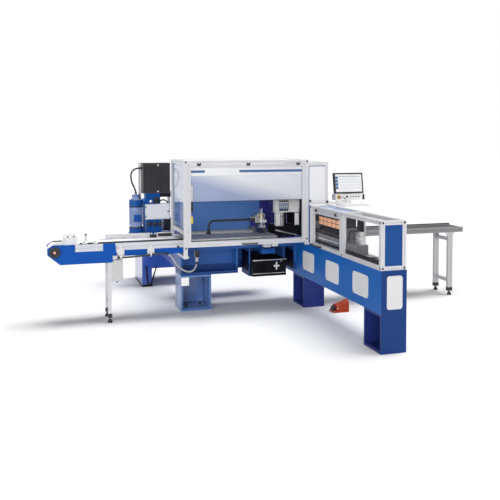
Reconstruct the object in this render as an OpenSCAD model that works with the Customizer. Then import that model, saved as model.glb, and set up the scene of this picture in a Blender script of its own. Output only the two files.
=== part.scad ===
// Bar punching machine: infeed conveyor, press under a guarded enclosure, tool magazine on a front arm,
// outfeed table, hydraulic pack and operator's console. X runs along the bar, Y away from the arm, Z up.

/* [Overall] */
// Length from the infeed head to the end of the outfeed
total_l = 5880; // [5800:10:6100]
// Depth from the end of the arm to the back of the rear stand
total_d = 4880; // [4860:10:4960]
// Height of the enclosure
total_h = 2000; // [1980:5:2060]
// Height of the table on which the bar runs
pass_h = 1000; // [980:1:1020]

/* [Base] */
// Left face of the base, to the left of the centre
base_left = 1258; // [1250:1:1280]
// Front face of the base, in front of the centre
base_front = 15; // [5:1:30]
// Width of the front leg
leg_w = 410; // [380:1:440]
// Depth of the base and its front leg
leg_d = 375; // [370:1:385]
// Height of the front leg
leg_h = 470; // [455:1:480]
// Depth of the base beam's top below the table
base_drop = 160; // [155:1:165]

/* [Arm] */
// Left face of the arm, to the right of the centre
arm_left = 361; // [355:1:370]
// Width of the arm
arm_w = 300; // [295:1:310]
// Height of the arm's underside
arm_under = 418; // [405:1:430]
// Depth of the arm's top face below the table
arm_drop = 120; // [115:1:130]
// Height of the guard above the arm
guard_h = 524; // [510:1:535]

/* [Enclosure] */
// Front plane of the enclosure, in front of the centre
enclosure_front = 470; // [460:1:480]
// Depth of the enclosure
enclosure_d = 866; // [860:1:880]
// Depth of the door's lower edge below the table
door_drop = 88; // [80:1:95]
// Share of the door's height below the frosted pane
clear_share = 0.549; // [0.5:0.005:0.6]
// Width of the covered bay over the arm
bay_w = 279; // [275:1:290]
// Width of the slotted frame bars
bar_w = 45; // [44:1:46]

/* [Conveyors] */
// Near face of the infeed, in front of the centre
infeed_front = 290; // [285:1:300]
// Width over the infeed beams
infeed_w = 370; // [362:1:378]
// Radius of the belt pulleys
pulley_r = 80; // [76:1:82]
// Near face of the outfeed, in front of the centre
outfeed_front = 240; // [230:1:250]
// Width over the outfeed beams
outfeed_w = 395; // [385:1:405]

/* [Press] */
// Travel of the punch ram
ram_stroke = 45; // [30:1:46]
// Number of tools in the magazine
tool_count = 6; // [4:1:6]
// Distance from tool to tool
tool_pitch = 125; // [115:1:130]

/* [Console] */
// Width of the console's screen housing
monitor_w = 430; // [400:1:450]
// Height of the screen housing along its tilt
monitor_h = 280; // [260:1:290]
// Backward tilt of the screen
monitor_tilt = 9; // [5:1:12]

/* [Hidden] */
$fn = 48;
gap = 0.3;
fit = 0.4;
over = 1;
x_left = -total_l / 2;
x_right = total_l / 2;
y_front = -total_d / 2;
y_back = total_d / 2;
bar_line = -35;
slot_w = 11;
slot_d = 9;
sheet_t = 6;
tube_sides = 14;
tube_steps = 3;
neck_gap = 1.2;

// Base
base_x = -base_left;
base_y = -base_front;
base_h = pass_h - base_drop;
base_back = base_y + leg_d;
leg_wall = 25;
foot_t = 30;
web_set = 150;
flange_t = 40;
rib_off = 345;
rib_x = base_x + leg_w + rib_off;
rib_t = 28;
anchor_d = 22;
anchor_in = 110;
bay_top = base_h - flange_t;
side_beam_w = 200;
cross_y = [600, 1000];
deck_top = 515;
deck_t = 30;
deck_lap = 20;
stand_leg_w = 150;
skirt_low = 282;

// Slug drawer
drawer_share = 0.676;
drawer_w = 480;
drawer_d = 400;
drawer_h = drawer_share * (bay_top - leg_h);
drawer_in = 184;
drawer_out = 105;
drawer_sink = 46;
drawer_x = arm_left - drawer_in - drawer_w;
drawer_y = base_y - drawer_out;
drawer_z = leg_h - drawer_sink;
drawer_wall = 5;
runner_t = 12;
runner_lip = 24;
louvre_h = 8;
louvre_x = 60;
louvre_w = 130;
louvre_shares = [0.22, 0.33, 0.44, 0.55, 0.66];
trim_h = 12;
trim_d = 10;
lever_out = 14;
lever_w = 14;
lever_in = 150;
lever_h_share = 0.4;
lever_z_share = 0.4;
cross_in = 178;
cross_w = 70;
cross_h = 16;
cross_z_share = 0.56;

// Arm
arm_x = arm_left;
arm_x1 = arm_x + arm_w;
arm_top = pass_h - arm_drop;
arm_h = arm_top - arm_under;
plate_t = 6;
arm_y = y_front + plate_t;
arm_back = 400;
arm_leg_d = 387;
rear_leg_y = -307;
plate_count = 3;
plate_l = 370;
plate_pitch = 744;
plate_off = 20;
plate_r = 40;
plate_z_share = 0.234;
plate_h_share = 0.541;
end_plate_in = [64, 53];
end_plate_r = 30;
end_z_share = 0.1126;
end_h_share = 0.768;
rail_w = 20;
rail_h = 20;
arm_rail_in = 60;
arm_rail_start = 10;
arm_rail_end = 60;
guard_z = arm_top;
guard_top = guard_z + guard_h;
guard_in = 20;
guard_y0 = y_front + guard_in;
guard_mid = -1480;
guard_y1 = -520;
end_wall_in = 8;

// Enclosure
enc_left = 52;
enc_x = base_x - enc_left;
enc_x1 = arm_x - gap;
enc_y = -enclosure_front;
enc_back = enc_y + enclosure_d;
wall_rise = 70;
wall_low = pass_h + wall_rise;
bay_x1 = arm_x + bay_w;
bay_drop = 33;
bay_top_z = total_h - bay_drop;
post_drop = 70;
post_low = base_h - post_drop;
bracket_h = 24;
bracket_in = 20;
post_foot_w = 84;
pane_t = 6;
pane_in = slot_d - gap;
guard_clear = 2;
wall_rise_top = 416;
wall_end = 36;
wall_set = [30, 14];
back_wall_y = [enc_back - wall_set[0], enc_back - wall_set[1]];
roof_set = 12;
cover_set = 8;
door_set = 3;
door_low = pass_h - door_drop;
door_x0 = enc_x + bar_w + door_set;
door_x1 = enc_x1 - bar_w - door_set;
door_y1 = enc_y + bar_w - door_set;
door_clear = 5;
door_top = total_h - bar_w - door_clear;
frost_low = door_low + clear_share * (door_top - door_low);
door_handle_x = 705;
door_handle_l = 210;
handle_rise = 8;
handle_r = 9;
handle_out = 30;
switch_w = 40;
switch_d = 38;
switch_lap = 15;
switch_rise = 215;
switch_z = pass_h + switch_rise;
switch_body_h = 105;
switch_h = 275;
stile_w = 41;
rail_low_h = 52;
hinge_r = 7;
pin_r = 3.5;
leaf_t = 4;
leaf_drop = 22;
leaf_rise = 18;
knuckle_w = 24;
hinge_off = 9;
hinge_drop = 2;
hinge_y = enc_y - hinge_off;
hinge_z = total_h - bar_w - hinge_drop;
door_hinge_in = [142, 104];
arm_hinge_in = 150;
arm_door_y0 = guard_mid + bar_w / 2 + door_set;
arm_door_y1 = guard_y1 - bar_w - door_set;
arm_door_rise = 4;
arm_door_low = guard_z + arm_door_rise;
arm_door_top = guard_top - bar_w - door_clear;
arm_handle_in = 30;
arm_handle_rise = 14;
arm_handle_l = 290;
flap_set = 8;
flap_d = bar_w - flap_set;
arm_hinge_x = arm_x - hinge_off;
arm_hinge_z = guard_top - bar_w - hinge_drop;

// Press and table
head_room = total_h - pass_h;
head_low_share = 0.284;
jaw_high_share = 0.456;
press_top_share = 0.76;
head_w = 353;
head_d = 270;
head_in = 17;
head_x1 = arm_x - head_in;
head_x0 = head_x1 - head_w;
head_y0 = bar_line - head_d / 2;
head_y1 = bar_line + head_d / 2;
table_in = 20;
table_x1 = head_x0 - table_in;
table_y0 = -340;
table_y1 = 330;
plate_h = 45;
groove_w = 16;
groove_d = 12;
groove_pitch = 90;
groove_start = 60;
groove_count = 4;
press_in = 164;
press_x0 = head_x1 - press_in;
press_w = 120;
press_set = 50;
press_y0 = head_y0 + press_set;
press_y1 = 1064;
throat_y = 480;
jaw_low = pass_h - plate_h;
jaw_high = pass_h + jaw_high_share * head_room;
press_top = pass_h + press_top_share * head_room;
head_z0 = pass_h + head_low_share * head_room;
die_rise = 99;
die_top = pass_h + die_rise;
column_w = 60;
column_in = [21, 2];
pocket_x = [65, 205];
pocket_d = 45;
pocket_z = 16;
valve_count = 4;
valve_x = 85;
valve_pitch = 33;
valve_y = 22;
valve_r = 13;
valve_foot_h = 34;
valve_clear = 32;
ram_x = head_x0 + head_w / 2;
ram_r = 40;
ram_clear = 30;
punch_r = 14;
punch_l = 60;
die_r = 45;
die_h = 12;
tip_gap = 3;
ram_low = pass_h + die_h + tip_gap + ram_stroke + punch_l;
feed_rail_y = [100, 260];
feed_rail_w = 25;
feed_rail_in = [40, 2];
carriage_gap = 5;
carriage_x1 = table_x1 - carriage_gap;
carriage_w = 200;
carriage_x0 = carriage_x1 - carriage_w;
carriage_y = [92, 296];
saddle_low = 6;
saddle_h = 60;
saddle_top = pass_h + saddle_h;
tower_x = [70, 170];
tower_y = [120, 270];
motor_at = [35, 200];
feed_motor_r = 28;
feed_motor_h = 140;
valve_box_x = [[90, 190], [80, 150]];
valve_box_y = [[130, 190], [205, 262]];
valve_box_h = [55, 35];
grip_in = 35;
grip_x0 = carriage_x0 + grip_in;
grip_w = 100;
grip_h = 180;
grip_top = pass_h + grip_h;
grip_front = 65;
grip_arm_h = 30;
grip_back_y = [70, 90];
grip_lift = 5;
grip_lip = 45;
grip_sole = 10;
clamp_in = 15;
clamp_h = 20;
grip_bore_z = 60;
grip_bore_l = 170;
cylinder_r = 24;
cylinder_h = 70;
jaw_in = 10;
jaw_z = [75, 110];
jaw_rod_r = 10;
jaw_rod_l = 110;
conduit_r = 11;
conduit_y = 60;
conduit_rise = 176;
conduit_z = pass_h + conduit_rise;
conduit_bend = 80;
conduit_run = 630;
conduit_x0 = carriage_x0 - conduit_run;
conduit_foot = [25, 20, 30];

// Magazine
mag_in = 49;
mag_lap = 380;
mag_plate_t = 27;
mag_step = 20;
mag_block_y = [160, 515];
mag_block_rise = 41;
mag_tower_y = [470, 528];
mag_tower_rise = 320;
rack_l = 810;
rack_rise = 88;
rack_plate_t = 20;
rack_top_t = 24;
tool_in = 85;
tool_hole_r = 26;
tool_foot_r = 38;
tool_foot_h = 74;
tool_ring_r = 58;
tool_ring_h = 54;
tool_ring_gap = 8;
tool_rings = 2;
tool_core_r = 24;
tool_h = 250;

// Conveyors
infeed_y0 = -infeed_front;
infeed_y1 = infeed_y0 + infeed_w;
infeed_l = base_x - x_left;
beam_drop = 15;
beam_top = pass_h - beam_drop;
beam_h = 89;
beam_z = beam_top - beam_h;
beam_in = 60;
belt_t = 5;
belt_in = 10;
pulley_in = 12;
axle_rise = 7;
axle_x = x_left + pulley_r + belt_t + over;
axle_z = beam_z + axle_rise;
idler_x = base_x - pulley_r - belt_t - axle_rise;
axle_r = 15;
drive_reach = 34;
idler_reach = 4;
flange_r = 66;
flange_h = 16;
flange_bolts = 6;
flange_pcd_r = 50;
flange_hole_r = 5;
head_rise = 2;
head_foot = 148;
head_tip = [30, 45];
head_heel = 60;
head_slope = 20;
chamfer_share = 0.0327;
toe_share = 0.0874;
notch_shares = [0.192, 0.39];
head_share = 0.4887;
heel_share = 0.035;
skirt_shares = [[0.544, 0.7117], [0.764, 0.9976]];
skirt_h = 76;
tray_z0 = beam_z - skirt_h;
tray_z1 = beam_z - gap;
leg_share = 0.4239;
infeed_leg_w = 45;
leg_x0 = x_left + leg_share * infeed_l;
guide_shares = [0.4263, 0.7693];
guide_out = [7, 22];
guide_z = [-26, 45];
guide_bracket_shares = [0.5054, 0.7134];
guide_bracket_w = 40;
guide_bracket_t = 9;
guide_bracket_in = 6;
clamp_shares = [0.4923, 0.7134];
clamp_w = 84;
clamp_t = 12;
clamp_drop = 40;
bridge_shares = [0.1189, 0.2081];
bridge_in = 8;
bridge_z = [62, 76];
outfeed_y0 = -outfeed_front;
outfeed_y1 = outfeed_y0 + outfeed_w;
outfeed_drop = [81, 10];
outfeed_z0 = pass_h - outfeed_drop[0];
outfeed_z1 = pass_h - outfeed_drop[1];
outfeed_start = 4;
outfeed_x0 = arm_x1 + outfeed_start;
outfeed_end = 45;
outfeed_x1 = x_right - outfeed_end;
out_leg_w = 75;
out_leg_in = 282;
out_leg_x = x_right - out_leg_in;
carrier_w = 95;
carrier_drop = 55;
bed_z = [12, 2];
strip_t = 18;
strip_z = [50, 4];
end_cap_t = 5;
leg_bar_shares = [0.16, 0.9];
foot_h = 60;
foot_r = 30;
foot_pad_h = 14;
stem_r = 9;

// Power hose along the infeed and its boxes
hose_r = 12;
hose_out = 26;
hose_shares = [0.4887, 0.5696, 0.7087, 0.8056];
hose_drops = [190, 193, 180, 168];
hose_turn = [[-224, -314, -178], [-186, -296, -206], [-156, -246, -246], [-114, -200, -307],
    [-39, -150, -398], [55, -112, -454.6], [105, -92, -468], [155, -76, -455], [191.5, -65, -418],
    [205, -60, -368], [205, -60, -340]];
plug_r = 19;
plug_h = 50;
plug_box = 24;
plug_box_h = 90;
gland_r = 18;
gland_l = 32;
gland_foot_x = [52, 22];
gland_foot_h = 22;
gland_foot_out = 18;
junction_w = 138;
junction_d = 90;
junction_z = [489, 226];

// Console
pivot_out = 50;
pivot_drop = 6;
pivot_x = bay_x1 + pivot_out;
pivot_y = enc_y + bar_w / 2;
pivot_z = guard_top - pivot_drop;
pivot_r = 12;
pivot_l = 62;
pivot_in = 10;
wall_plate_t = 8;
wall_plate_z = [25, 85];
shelf_w = 22;
shelf_t = 20;
shelf_end = 30;
boom_r = 26;
boom_w = 40;
boom_step = 8;
boom_end_r = 45;
console_out = 105;
console_d = 122;
console_in = 98;
console_rise = 47;
console_h = 80;
console_x0 = pivot_x + console_out;
console_front = enc_y + console_in;
console_y1 = console_front + console_d;
console_z0 = pivot_z + console_rise;
console_z1 = console_z0 + console_h;
button_rise = 42;
button_z = console_z0 + button_rise;
button_in = [45, 105];
button_stem_r = 12;
button_stem_l = 38;
button_bore = 40;
button_gap = 8;
stop_size = [22, 16];
start_size = [16, 10];
tray_in = [15, 30];
tray_x = [console_x0 + tray_in[0], console_x0 + monitor_w - tray_in[1]];
tray_y = [240, 22];
tray_z = [65, 53];
riser_w = 12;
monitor_t = 45;
monitor_set = 20;
monitor_rise = 11;
screen_in = 18;
screen_d = 4;
mount_w = 100;
mount_h = 120;
mount_t = 20;

// Hydraulic pack
stand_out = 258;
stand_x0 = base_x - stand_out;
stand_w = 1066;
stand_d = 781;
stand_y = y_back - stand_d;
tank_top = 812;
motor_out = 70;
motor_in = 135;
motor_x = stand_x0 - motor_out;
motor_y = stand_y + motor_in;
motor_r = 105;
motor_z = 832;
motor_h = 515;
motor_core = 12;
motor_fins = 18;
fin_t = 6;
fin_z = 120;
fin_h = 280;
motor_foot_h = 30;
motor_cap_h = 100;
cowl_r = 60;
cowl_h = 78;
fitting_r = 17;
cooler_in = 30;
cooler_x = stand_x0 + cooler_in;
cooler_w = 419;
cooler_set = 40;
cooler_y = stand_y + cooler_set;
cooler_d = 250;
cooler_z = 1440;
cooler_h = 470;
cooler_rim = 20;
cooler_rim_x = [18, 24];
rib_pitch = 22;
rib_slot = 9;
rib_depth = 16;
post_w = 40;
tank_left = 24;
tank_right = 60;
tank_x = [tank_left, tank_right];
tank_front = 260;
tank_back = 40;
tank_y = [tank_front, tank_back];
shelf_left = 105;
shelf_right = 250;
shelf_x = [shelf_left, shelf_right];
shelf_front = 22;
shelf_back = 250;
shelf_y = [shelf_front, shelf_back];
pier_x = 40;
pier_y = 30;
manifold_left = 46;
manifold_right = 290;
manifold_x = [manifold_left, manifold_right];
manifold_front = 50;
manifold_back = 230;
manifold_y = [manifold_front, manifold_back];
top_valve_left = 36;
top_valve_right = 266;
top_valve_x = [top_valve_left, top_valve_right];
top_valve_front = 60;
top_valve_back = 220;
top_valve_y = [top_valve_front, top_valve_back];
box_left = 30;
box_right = 415;
box_x = [box_left, box_right];
box_front = 50;
box_back = 240;
box_y = [box_front, box_back];
box_low = 1036;
box_high = 1275;
box_z = [box_low, box_high];
oil_hose_r = 13;
oil_start_x = 22;
oil_start_z = 1832;
oil_start = [oil_start_x, oil_start_z];
oil_turn = [[15, 1830], [-45, 1805], [-75, 1750], [-76, 1680], [-55, 1590], [-18, 1520], [0, 1466],
    [0, 1438]];

// Foot switch
pedal_in = 33;
pedal_x = arm_x1 - pedal_in;
pedal_y = -700;
pedal_w = 215;
pedal_d = 150;
pedal_h = 160;
pedal_wall = 10;
pedal_floor = 22;
pedal_back = 40;
hood_narrow_shares = [0.92, 0.62];
hood_side_share = 0.6;
hood_lap = 8;
cheek_h = 74;
cheek_l = 60;
gland_h = 64;
gland_y = [45, 105];
tread_x = 52;
tread_z = 56;
tread_t = 10;
tread_end = 26;
tread_in = 20;
tread_pin = 5;
tread_pin_in = 2;

// A place along the infeed, as a share of its length
function along_infeed(share) = x_left + share * infeed_l;

// A box between two values on each axis
module span(x, y, z) {
    translate([x[0], y[0], z[0]]) cube([x[1] - x[0], y[1] - y[0], z[1] - z[0]]);
}

// Section of a slotted aluminium bar, one corner at the origin
module slot_section(w, h) {
    difference() {
        square([w, h]);
        for (y = [-over, h - slot_d])
            translate([(w - slot_w) / 2, y]) square([slot_w, slot_d + over]);
        for (x = [-over, w - slot_d])
            translate([x, (h - slot_w) / 2]) square([slot_d + over, slot_w]);
    }
}

// Slotted bars along X, Y and Z, each between two values on each axis
module bar_x(x, y, z) {
    translate([x[0], y[0], z[0]]) rotate([90, 0, 90])
        linear_extrude(x[1] - x[0]) slot_section(y[1] - y[0], z[1] - z[0]);
}
module bar_y(x, y, z) {
    translate([x[0], y[1], z[0]]) rotate([90, 0, 0])
        linear_extrude(y[1] - y[0]) slot_section(x[1] - x[0], z[1] - z[0]);
}
module bar_z(x, y, z) {
    translate([x[0], y[0], z[0]]) linear_extrude(z[1] - z[0]) slot_section(x[1] - x[0], y[1] - y[0]);
}

// A level pane whose edges lie in slots, with its corners cut clear of the posts
module slot_pane(x, y, z) {
    span(x, [y[0] + pane_in + gap, y[1] - pane_in - gap], z);
    span([x[0] + pane_in + gap, x[1] - pane_in - gap], y, z);
}

// Cylinders along X and Y from a start point
module rod_x(p, r, l) {
    translate(p) rotate([0, 90, 0]) cylinder(r = r, h = l);
}
module rod_y(p, r, l) {
    translate(p) rotate([-90, 0, 0]) cylinder(r = r, h = l);
}

// Rectangle with rounded corners, one corner of its box at the origin
module round_rect(w, h, r) {
    translate([r, 0]) square([w - 2 * r, h]);
    translate([0, r]) square([w, h - 2 * r]);
    for (x = [r, w - r], y = [r, h - r]) translate([x, y]) circle(r);
}

// Tube along a list of points that never runs along Y, as rings joined by facets
module tube(points, r) {
    last = len(points) - 1;
    turn = 360 / tube_sides;
    function unit(v) = v / norm(v);
    function along(i) = unit(points[min(i + 1, last)] - points[max(i - 1, 0)]);
    function side(i) = unit(cross(along(i), [0, 1, 0]));
    function lift(i) = cross(along(i), side(i));
    rings = [for (i = [0 : last], k = [0 : tube_sides - 1])
        points[i] + r * (side(i) * cos(k * turn) + lift(i) * sin(k * turn))];
    walls = [for (i = [0 : last - 1], k = [0 : tube_sides - 1])
        let (n = (k + 1) % tube_sides, a = i * tube_sides)
        [a + k, a + tube_sides + k, a + tube_sides + n, a + n]];
    first_cap = [for (k = [0 : tube_sides - 1]) k];
    last_cap = [for (k = [tube_sides - 1 : -1 : 0]) last * tube_sides + k];
    polyhedron(rings, concat(walls, [first_cap, last_cap]));
}

// Points between two values of a smooth curve through four neighbouring points
function curve_point(a, b, c, d, t) = (2 * b + (c - a) * t + (2 * a - 5 * b + 4 * c - d) * t * t
    + (3 * b - a - 3 * c + d) * t * t * t) / 2;

// A route with its bends smoothed, from a list of hand-chosen points
function smooth_route(p) = [for (i = [0 : len(p) - 2], k = [0 : tube_steps - 1])
    curve_point(p[max(i - 1, 0)], p[i], p[i + 1], p[min(i + 2, len(p) - 1)], k / tube_steps),
    p[len(p) - 1]];

// A welded leg, open on its front, with a floor plate and two anchor holes
module channel_leg(w, d, h) {
    difference() {
        cube([w, d, h]);
        translate([leg_wall, -over, foot_t])
            cube([w - 2 * leg_wall, d - leg_wall + over, h - foot_t - leg_wall]);
        for (x = [anchor_in, w - anchor_in])
            translate([x, d / 2, -over]) cylinder(d = anchor_d, h = foot_t + 2 * over);
    }
}

module base_front_leg() {
    color("royalblue") translate([base_x, base_y, 0]) channel_leg(leg_w, leg_d, leg_h - gap);
}

module base_front_beam() {
    runner_y = [base_y, base_back - leg_wall + over];
    color("royalblue") {
        difference() {
            span([base_x, arm_x - gap], [base_y, base_back], [leg_h, base_h]);
            span([base_x + leg_wall, rib_x], [base_y - over, base_y + web_set],
                [leg_h + flange_t, bay_top]);
            span([rib_x + rib_t, arm_x - leg_wall], [base_y - over, base_back - leg_wall],
                [leg_h - over, bay_top]);
        }
        // Angle runners that carry the slug drawer
        for (side = [0, 1]) translate([drawer_x + drawer_w * side, 0, 0]) mirror([side, 0, 0]) {
            span([-runner_t - fit, -fit], runner_y, [drawer_z - runner_t, bay_top + over]);
            span([-runner_t - fit, runner_lip], runner_y, [drawer_z - runner_t, drawer_z - fit]);
        }
    }
}

module base_rear_frame() {
    beam_x1 = base_x + side_beam_w;
    stand_x1 = stand_x0 + stand_w;
    deck_low = deck_top - deck_t;
    color("royalblue") {
        span([base_x, beam_x1], [base_back + gap, stand_y + deck_lap], [deck_top + gap, base_h]);
        span([beam_x1 + gap, press_x0 + press_w], cross_y, [deck_top, base_h - gap]);
        span([stand_x0, stand_x1], [stand_y, y_back], [deck_low, deck_top]);
        for (x = [stand_x0, stand_x1 - stand_leg_w])
            span([x, x + stand_leg_w], [stand_y, y_back], [foot_t + gap, deck_low - gap]);
        span([stand_x0 + stand_leg_w + gap, stand_x1 - stand_leg_w - gap], [stand_y, stand_y + foot_t],
            [skirt_low, deck_low - gap]);
    }
}

module levelling_foot(x, y) {
    translate([x, y, 0]) {
        cylinder(r = foot_r, h = foot_pad_h);
        cylinder(r = stem_r, h = foot_h);
    }
}

module floor_feet() {
    color("#202022") {
        for (y = [infeed_y0 + bar_w / 2, infeed_y1 - bar_w / 2])
            levelling_foot(leg_x0 + infeed_leg_w / 2, y);
        for (y = [outfeed_y0 + bar_w / 2, outfeed_y1 - bar_w / 2])
            levelling_foot(out_leg_x + out_leg_w / 2, y);
        // Floor plates of the rear stand
        for (x = [stand_x0, stand_x0 + stand_w - stand_leg_w])
            span([x, x + stand_leg_w], [stand_y, y_back], [0, foot_t]);
    }
}

module feed_table() {
    color("#6a6a6e") difference() {
        union() {
            span([base_x, table_x1], [table_y0, table_y1], [pass_h - plate_h, pass_h]);
            span([base_x, table_x1], [base_y, table_y1], [base_h + gap, pass_h - plate_h + over]);
        }
        for (i = [0 : groove_count - 1]) translate([0, table_y0 + groove_start + groove_pitch * i, 0])
            span([base_x - over, table_x1 + over], [0, groove_w], [pass_h - groove_d, pass_h + over]);
    }
}

module linear_rails() {
    color("#b8bcc2") {
        for (y = feed_rail_y)
            span([base_x + feed_rail_in[0], table_x1 - feed_rail_in[1]], [y, y + feed_rail_w],
                [pass_h + gap, pass_h + rail_h]);
        for (x = [arm_x + arm_rail_in, arm_x1 - arm_rail_in - rail_w])
            span([x, x + rail_w], [guard_y0 + bar_w + arm_rail_start, arm_rail_end],
                [arm_top + gap, arm_top + rail_h]);
    }
}

module slug_drawer() {
    color("#1c1c1e") translate([drawer_x, drawer_y, drawer_z]) {
        difference() {
            cube([drawer_w, drawer_d, drawer_h]);
            translate([drawer_wall, drawer_wall, drawer_wall])
                cube([drawer_w - 2 * drawer_wall, drawer_d - 2 * drawer_wall, drawer_h]);
            // Air slots in the front
            for (share = louvre_shares) translate([louvre_x, -over, share * drawer_h])
                cube([louvre_w, drawer_wall + 2 * over, louvre_h]);
        }
        // Rolled lip and latch lever on the front
        translate([0, -trim_d, drawer_h - trim_h]) cube([drawer_w, trim_d + over, trim_h]);
        translate([drawer_w - lever_in, -lever_out, lever_z_share * drawer_h])
            cube([lever_w, lever_out + over, lever_h_share * drawer_h]);
        translate([drawer_w - cross_in, -lever_out, cross_z_share * drawer_h])
            cube([cross_w, lever_out + over, cross_h]);
    }
}

module feed_carriage() {
    color("#d8d8d4") {
        difference() {
            span([carriage_x0, carriage_x1], carriage_y, [pass_h + saddle_low, saddle_top]);
            for (y = feed_rail_y)
                span([carriage_x0 - over, carriage_x1 + over], [y - fit, y + feed_rail_w + fit],
                    [pass_h, pass_h + rail_h + fit]);
        }
        translate([carriage_x0, 0, 0]) {
            span(tower_x, tower_y, [saddle_top - over, grip_top]);
            // Feed motor and valve boxes
            translate([motor_at.x, motor_at.y, saddle_top - over])
                cylinder(r = feed_motor_r, h = feed_motor_h);
            for (i = [0, 1])
                span(valve_box_x[i], valve_box_y[i], [grip_top - over, grip_top + valve_box_h[i]]);
        }
    }
}

module gripper_body() {
    mid = grip_x0 + grip_w / 2;
    x = [grip_x0, grip_x0 + grip_w];
    color("#e6e2d4") difference() {
        union() {
            span(x, [bar_line - grip_front, tower_y[0] - gap], [grip_top - grip_arm_h, grip_top]);
            span(x, grip_back_y, [pass_h + grip_lift, grip_top]);
            span(x, [bar_line - grip_lip, grip_back_y[1]],
                [pass_h + grip_lift, pass_h + grip_lift + grip_sole]);
            span([grip_x0 - clamp_in, grip_x0 + over], [conduit_y - clamp_h, grip_back_y[1]],
                [conduit_z - clamp_h, conduit_z + clamp_h]);
            // Cylinder that drives the jaw
            translate([mid, bar_line, grip_top - over]) cylinder(r = cylinder_r, h = cylinder_h);
        }
        translate([mid, bar_line, pass_h + grip_bore_z]) cylinder(r = jaw_rod_r + gap, h = grip_bore_l);
    }
}

module gripper_jaw() {
    color("#8c8f94") {
        span([grip_x0 + jaw_in, grip_x0 + grip_w - jaw_in], [bar_line - grip_lip, bar_line + grip_lip],
            [pass_h + jaw_z[0], pass_h + jaw_z[1]]);
        translate([grip_x0 + grip_w / 2, bar_line, pass_h + jaw_z[1] - over])
            cylinder(r = jaw_rod_r, h = jaw_rod_l);
    }
}

module carriage_conduit() {
    foot_top = pass_h + conduit_foot.z;
    bend_z = conduit_z - conduit_bend;
    color("#17171a") translate([conduit_x0, conduit_y, 0]) {
        span([-conduit_foot.x, conduit_foot.x], [-conduit_foot.y, conduit_foot.y], [pass_h + gap, foot_top]);
        translate([0, 0, foot_top - over]) cylinder(r = conduit_r, h = bend_z - foot_top + over);
        translate([conduit_bend, 0, bend_z]) rotate([90, 0, 0]) rotate([0, 0, 90])
            rotate_extrude(angle = 90) translate([conduit_bend, 0]) circle(conduit_r);
        rod_x([conduit_bend, 0, conduit_z], conduit_r,
            grip_x0 - clamp_in - gap - conduit_x0 - conduit_bend);
    }
}

module press_frame() {
    color("#221a6b") {
        difference() {
            span([press_x0, press_x0 + press_w], [press_y0, press_y1], [base_h + gap, press_top]);
            span([press_x0 - over, press_x0 + press_w + over], [head_y0, throat_y], [jaw_low, jaw_high]);
        }
        // Shield behind the head, across the throat
        span([head_x0 - wall_end + gap, enc_x1 - bar_w - gap], back_wall_y,
            [pass_h + guard_clear, pass_h + wall_rise_top]);
    }
}

module press_head() {
    color("#e9e7e3") difference() {
        union() {
            span([head_x0, head_x1], [head_y0, head_y1], [head_z0, jaw_high - gap]);
            for (x = [head_x0 + column_in[0], head_x1 - column_in[1] - column_w],
                y = [head_y0, head_y1 - column_w])
                span([x, x + column_w], [y, y + column_w], [die_top + gap, head_z0 + over]);
        }
        translate([ram_x, bar_line, head_z0 - over]) cylinder(r = ram_r + gap, h = jaw_high);
        // Pocket for the valves
        span([head_x0 + pocket_x[0], head_x0 + pocket_x[1]], [head_y0 - over, head_y0 + pocket_d],
            [head_z0 + pocket_z, jaw_high]);
    }
}

module head_valves() {
    valve_h = jaw_high - head_z0 - pocket_z - valve_clear;
    color("#8fa6bd") for (i = [0 : valve_count - 1])
        translate([head_x0 + valve_x + valve_pitch * i, head_y0 + valve_y, head_z0 + pocket_z + gap]) {
            cylinder(r = valve_r, h = valve_h);
            translate([-valve_r, -valve_r, 0]) cube([2 * valve_r, 2 * valve_r, valve_foot_h]);
        }
}

module press_ram() {
    color("#c3c6ca") {
        translate([ram_x, bar_line, ram_low]) cylinder(r = ram_r, h = jaw_high - ram_low - ram_clear);
        translate([ram_x, bar_line, ram_low - punch_l]) cylinder(r = punch_r, h = punch_l + over);
    }
}

module die_block() {
    color("#121214") difference() {
        union() {
            difference() {
                span([head_x0, head_x1], [head_y0, head_y1], [jaw_low + gap, die_top]);
                span([head_x0 - over, head_x1 + over], [head_y0 + column_w, head_y1 - column_w],
                    [pass_h, die_top + over]);
            }
            translate([ram_x, bar_line, pass_h - over]) cylinder(r = die_r, h = die_h + over);
        }
        translate([ram_x, bar_line, jaw_low - over])
            cylinder(r = punch_r + over, h = plate_h + die_h + 2 * over);
    }
}

module arm_beam() {
    color("royalblue") span([arm_x, arm_x1], [arm_y, arm_back], [arm_under, arm_top]);
}

module arm_legs() {
    color("royalblue") for (y = [arm_y + arm_leg_d, rear_leg_y + arm_leg_d])
        translate([arm_x, y, 0]) rotate([0, 0, -90]) channel_leg(arm_leg_d, arm_w, arm_under - gap);
}

module arm_plates() {
    plate_z = arm_under + plate_z_share * arm_h;
    color("#e4e4e6") {
        for (i = [0 : plate_count - 1])
            translate([arm_x - gap, rear_leg_y + plate_off - plate_pitch * i, plate_z])
                rotate([90, 0, -90]) linear_extrude(plate_t)
                    round_rect(plate_l, plate_h_share * arm_h, plate_r);
        translate([arm_x + end_plate_in[0], arm_y - gap, arm_under + end_z_share * arm_h]) rotate([90, 0, 0])
            linear_extrude(plate_t - gap)
                round_rect(arm_w - end_plate_in[0] - end_plate_in[1], end_h_share * arm_h, end_plate_r);
    }
}

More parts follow.
